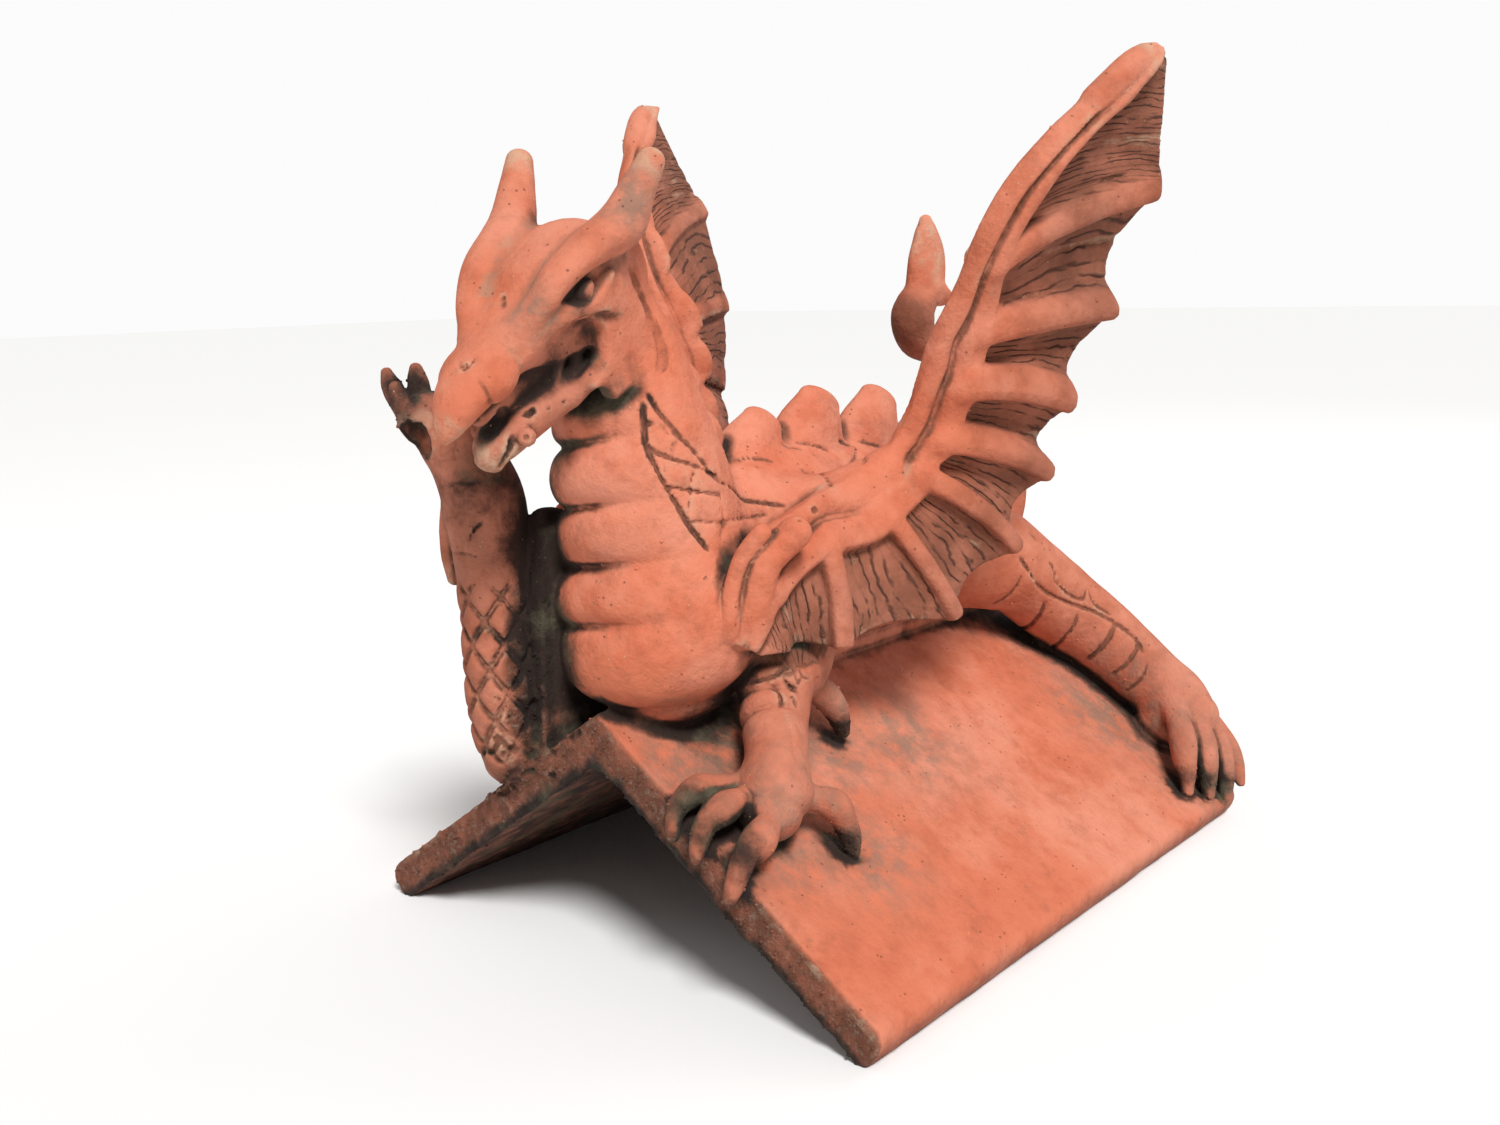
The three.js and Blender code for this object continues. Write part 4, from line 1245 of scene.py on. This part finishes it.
def gritTree():
    tree = bpy.data.node_groups.new("clayGrit", "GeometryNodeTree")
    sockets = {"Geometry": "Geometry", "Density rough": "Float", "Density smooth": "Float",
               "Smallest": "Float", "Largest": "Float", "Seed": "Int", "Material": "Material"}
    for name, kind in sockets.items():
        tree.interface.new_socket(name, in_out="INPUT", socket_type="NodeSocket" + kind)
    tree.interface.new_socket("Geometry", in_out="OUTPUT", socket_type="NodeSocketGeometry")
    make = Nodes(tree)
    given = make.new("NodeGroupInput").outputs
    result = make.new("NodeGroupOutput")
    rough = make.new("GeometryNodeInputNamedAttribute", {"Name": "rough"}, data_type="FLOAT")
    density = make.new("ShaderNodeMapRange", {
        "Value": rough.outputs["Attribute"], "To Min": given["Density smooth"],
        "To Max": given["Density rough"]}).outputs["Result"]
    scatter = make.new("GeometryNodeDistributePointsOnFaces", {"Mesh": given["Geometry"], "Density": density,
                                                               "Seed": given["Seed"]})
    size = make.new("FunctionNodeRandomValue", {
        2: given["Smallest"], 3: given["Largest"], "Seed": given["Seed"]})
    turn = make.new("FunctionNodeRandomValue", data_type="FLOAT_VECTOR")
    turn.inputs[1].default_value = (math.tau, math.tau, math.tau)
    grain = make.new("GeometryNodeMeshIcoSphere", {"Radius": 1.0, "Subdivisions": 1})
    place = make.new("GeometryNodeInstanceOnPoints", {
        "Points": scatter.outputs["Points"], "Instance": grain.outputs["Mesh"],
        "Rotation": turn.outputs["Value"], "Scale": size.outputs[1]})
    together = make.new("GeometryNodeJoinGeometry", {"Geometry": place.outputs["Instances"]})
    tree.links.new(given["Geometry"], together.inputs["Geometry"])
    real = make.new("GeometryNodeRealizeInstances", {"Geometry": together.outputs["Geometry"]})
    paint = make.new("GeometryNodeSetMaterial", {"Geometry": real.outputs["Geometry"],
                                                 "Material": given["Material"]})
    tree.links.new(paint.outputs["Geometry"], result.inputs["Geometry"])
    return tree


def addGrit(piece, material):
    modifier = piece.modifiers.new("grit", "NODES")
    modifier.node_group = gritTree()
    values = {**grit, "Material": material}
    for socket in modifier.node_group.interface.items_tree:
        if socket.name in values:
            modifier[socket.identifier] = values[socket.name]
    plainMesh(piece)
    # No grain stands outside the solid's own box
    flat = np.empty(len(piece.data.vertices) * 3)
    piece.data.vertices.foreach_get("co", flat)
    inside = np.clip(flat.reshape(-1, 3), np.array(cadLow) + boxMargin, np.array(cadHigh) - boxMargin)
    piece.data.vertices.foreach_set("co", inside.ravel())
    piece.data.validate()
    piece.data.update()
    print("with grit", len(piece.data.polygons), "triangles")


def terracotta():
    material = bpy.data.materials.new("terracotta")
    material.use_nodes = True
    tree = material.node_tree
    shader = tree.nodes["Principled BSDF"]
    make = Nodes(tree)
    place = make.new("ShaderNodeTexCoord").outputs["Object"]
    hollow, shelter, edgeHighlight = (make.attribute(name) for name in ("hollow", "shelter", "edgeHighlight"))
    tone, rough, pale, paintedShadow = (make.attribute(name) for name in ("tone", "rough", "pale", "paintedShadow"))
    dustAndShadeAt, membrane = make.attribute("dustAndShadeAt"), make.attribute("membrane")
    rough = make.math("MAXIMUM", rough, make.attribute("coarse"))
    broad = make.noise(place, 9.0, 3.0)
    cloud = make.noise(place, 28.0, 5.0, 0.6)
    patch = make.noise(place, 75.0, 6.0, 0.65)
    fine = make.noise(place, 420.0, 4.0, 0.7)

    # Salmon and orange clay, fired browner in places
    colour = make.mix(make.ramp(make.plus(broad, make.times(cloud, 0.6)), 0.62, 0.98), "salmon", "orange")
    fired = make.ramp(make.plus(patch, make.times(cloud, 0.8)), 0.82, 1.20, 0.0, 0.42)
    colour = make.mix(fired, colour, "fired")
    # Browner by each part's tone, which on the jaw, the raised arm and the web is painted shade
    colour = make.mix(make.times(tone, make.ramp(cloud, 0.3, 0.6, 0.55, 1.0)), colour, "brown")

    # Grime in fine uneven patches
    grime = make.ramp(make.noise(place, 46.0, 9.0, 0.78), 0.50, 0.72, 0.0, 0.34)
    colour = make.mix(grime, colour, "brown")

    # Wing membranes: brown, with wrinkles that fan out between the ribs
    across, outwards = make.attribute("fanLine"), make.attribute("fanReach")
    fan = make.new("ShaderNodeCombineXYZ", {"X": make.times(across, 30.0),
                                            "Y": make.times(outwards, 2.0)}).outputs["Vector"]
    bend = make.times(make.noise(fan, 1.0, 3.0, 0.55), 3.2)
    folds = make.math("PINGPONG", make.plus(make.times(across, 88.0), bend), 0.5)
    broken = make.ramp(make.noise(fan, 2.3, 2.0), 0.40, 0.56, 0.15, 1.0)
    wrinkle = make.times(make.times(make.ramp(folds, 0.0, 0.2, 1.0, 0.0), broken), membrane)
    colour = make.mix(make.times(make.ramp(outwards, 0.16, 0.55), make.ramp(cloud, 0.35, 0.65, 0.3, 0.6)),
                      colour, "brown")
    colour = make.mix(make.times(membrane, make.ramp(cloud, 0.35, 0.65, 0.5, 0.85)), colour, "brown")
    # The dark lines in the wrinkles are painted shade in their grooves
    colour = make.mix(make.times(wrinkle, 0.85), colour, "dark")

    # Dust and painted shade: grey-brown in sheltered places and listed spots, in patches
    dustAndShade = make.plus(make.ramp(shelter, 0.46, 0.72), make.times(dustAndShadeAt, 1.3))
    dustAndShade = make.times(dustAndShade, make.ramp(make.plus(make.times(fine, 0.25), patch), 0.42, 0.82), True)
    colour = make.mix(make.times(dustAndShade, 0.75), colour, "dustAndShade")

    # Rough broken faces: brown with pale grit
    gritty = make.mix(make.ramp(make.noise(place, 260.0, 5.0, 0.75), 0.50, 0.68), "brown", "dustAndShade")
    colour = make.mix(make.times(rough, make.ramp(patch, 0.3, 0.6, 0.65, 1.0)), colour, gritty)

    # Painted highlight on convex edges, and pale tips
    edgeHighlightPatches = make.times(make.ramp(edgeHighlight, 0.10, 0.40), make.ramp(patch, 0.40, 0.60), True)
    colour = make.mix(make.times(edgeHighlightPatches, 0.5), colour, "buff")
    tips = make.times(make.ramp(pale, 0.25, 0.75), make.ramp(patch, 0.40, 0.60, 0.1, 1.0), True)
    colour = make.mix(make.times(tips, 0.7), colour, "buff")

    # Painted shade: brown in every hollow, near-black with greenish patches in the deep and sheltered ones
    uneven = make.math("SUBTRACT", patch, 0.5)
    hollowShade = make.plus(hollow, make.times(shelter, 0.25))
    hollowShade = make.ramp(make.plus(hollowShade, make.times(uneven, 0.3)), 0.18, 0.50)
    colour = make.mix(make.times(hollowShade, 0.8), colour, "brown")
    depth = make.plus(make.times(hollow, 0.9), make.times(shelter, 0.6))
    depth = make.plus(depth, make.times(make.plus(paintedShadow, uneven), 0.7))
    deepShade = make.ramp(make.plus(depth, make.times(rough, 0.22)), 0.46, 0.92)
    colour = make.mix(make.times(deepShade, 0.93), colour,
                      make.mix(make.ramp(cloud, 0.5, 0.66), "deepShade", "greenishShade"))

    # Pores and pale specks
    specks = make.new("ShaderNodeTexVoronoi", {"Vector": place, "Scale": 190.0}).outputs["Distance"]
    chosen = make.ramp(make.noise(place, 60.0, 2.0), 0.56, 0.6)
    pores = make.times(make.ramp(specks, 0.10, 0.16, 1.0, 0.0), chosen)
    colour = make.mix(make.times(pores, 0.6), colour, "brown")
    lit = make.times(make.ramp(specks, 0.06, 0.12, 1.0, 0.0),
                    make.ramp(make.noise(place, 47.0, 2.0), 0.60, 0.63))
    colour = make.mix(make.times(lit, 0.7), colour, "buff")
    tree.links.new(colour, shader.inputs["Base Color"])

    # Fine relief: pores, grain and, on broken faces, coarse grit
    height = make.times(fine, 0.00035)
    height = make.plus(height, make.times(patch, 0.0012))
    height = make.plus(height, make.times(make.noise(place, 150.0, 5.0, 0.62), 0.0009))
    height = make.math("SUBTRACT", height, make.times(pores, 0.0006))
    height = make.math("SUBTRACT", height, make.times(wrinkle, 0.0014))
    coarse = make.times(make.noise(place, 230.0, 5.0, 0.75), make.times(rough, 0.004))
    height = make.plus(height, coarse)
    relief = make.new("ShaderNodeBump", {"Strength": 0.9, "Distance": 1.0, "Height": height})
    tree.links.new(relief.outputs["Normal"], shader.inputs["Normal"])
    tree.links.new(make.ramp(patch, 0.3, 0.7, 0.78, 0.94), shader.inputs["Roughness"])
    shader.inputs["Specular IOR Level"].default_value = 0.32
    return material


# Build
def modelDragon():
    modelTile()
    modelTrunk()
    modelChest()
    modelCrest()
    modelStandingLeg()
    modelRaisedArm()
    modelWeb()
    for side in (1, -1):
        modelHindLeg(side)
    modelTail()
    modelHead()
    modelWings()
    drawLines()
    weatherClay()
    trimToBox()


def buildPiece():
    modelDragon()
    piece = addObject("dragonRidgeTile", surfaceMesh())
    thinMesh(piece)
    describeSurface(piece.data)
    material = terracotta()
    addGrit(piece, material)
    piece.data.shade_smooth()
    return piece


def makeCamera():
    data = bpy.data.cameras.new("camera")
    data.lens = data.sensor_width * camera["focal"] / camera["picture"][0]
    data.clip_end = 20
    item = addObject("camera", data)
    back, right, up = cameraAxes()
    place = toMetres(camera["place"])
    item.matrix_world = Matrix([*np.column_stack([right, up, back, place]), (0, 0, 0, 1)])
    bpy.context.scene.camera = item


lamps = {
    "key": {"kind": "SUN", "place": (1.45, -1.0, 2.2), "angle": 16, "power": 3.7},
    "left": {"kind": "AREA", "place": (-1.9, -1.4, 1.5), "size": 1.6, "power": 5},
    "back": {"kind": "AREA", "place": (0.8, 2.2, 1.8), "size": 1.6, "power": 14},
}


studio = {
    "aim": (0, 0, 0.22),
    "floorReach": 14.0,
    "floorColour": (0.80, 0.795, 0.785, 1),
    "light": 0.34,
    "backdrop": 0.97,
}


def makeStage():
    reach = studio["floorReach"]
    corners = [(-reach, -reach, 0), (reach, -reach, 0), (reach, reach, 0), (-reach, reach, 0)]
    mesh = bpy.data.meshes.new("floor")
    mesh.from_pydata(corners, [], [(0, 1, 2, 3)])
    floor = addObject("floor", mesh)
    material = bpy.data.materials.new("floor")
    material.use_nodes = True
    shader = material.node_tree.nodes["Principled BSDF"]
    shader.inputs["Base Color"].default_value = studio["floorColour"]
    shader.inputs["Roughness"].default_value = 0.9
    mesh.materials.append(material)
    world = bpy.data.worlds.new("studio")
    bpy.context.scene.world = world
    world.use_nodes = True
    make = Nodes(world.node_tree)
    fromCamera = make.new("ShaderNodeLightPath").outputs["Is Camera Ray"]
    background = world.node_tree.nodes["Background"]
    background.inputs["Color"].default_value = (1, 1, 1, 1)
    strength = make.ramp(fromCamera, 0.0, 1.0, studio["light"], studio["backdrop"])
    world.node_tree.links.new(strength, background.inputs["Strength"])
    bpy.context.scene.view_settings.view_transform = "Standard"
    for name, lamp in lamps.items():
        data = bpy.data.lights.new(name, lamp["kind"])
        if lamp["kind"] == "SUN":
            data.angle = math.radians(lamp["angle"])
        else:
            data.size = lamp["size"]
        data.energy = lamp["power"]
        item = addObject(name, data)
        item.location = lamp["place"]
        item.rotation_euler = (Vector(studio["aim"]) - item.location).to_track_quat("-Z", "Y").to_euler()


makeCamera()
makeStage()
piece = buildPiece()
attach(piece, "root")
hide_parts("dragon_ridge_tile")
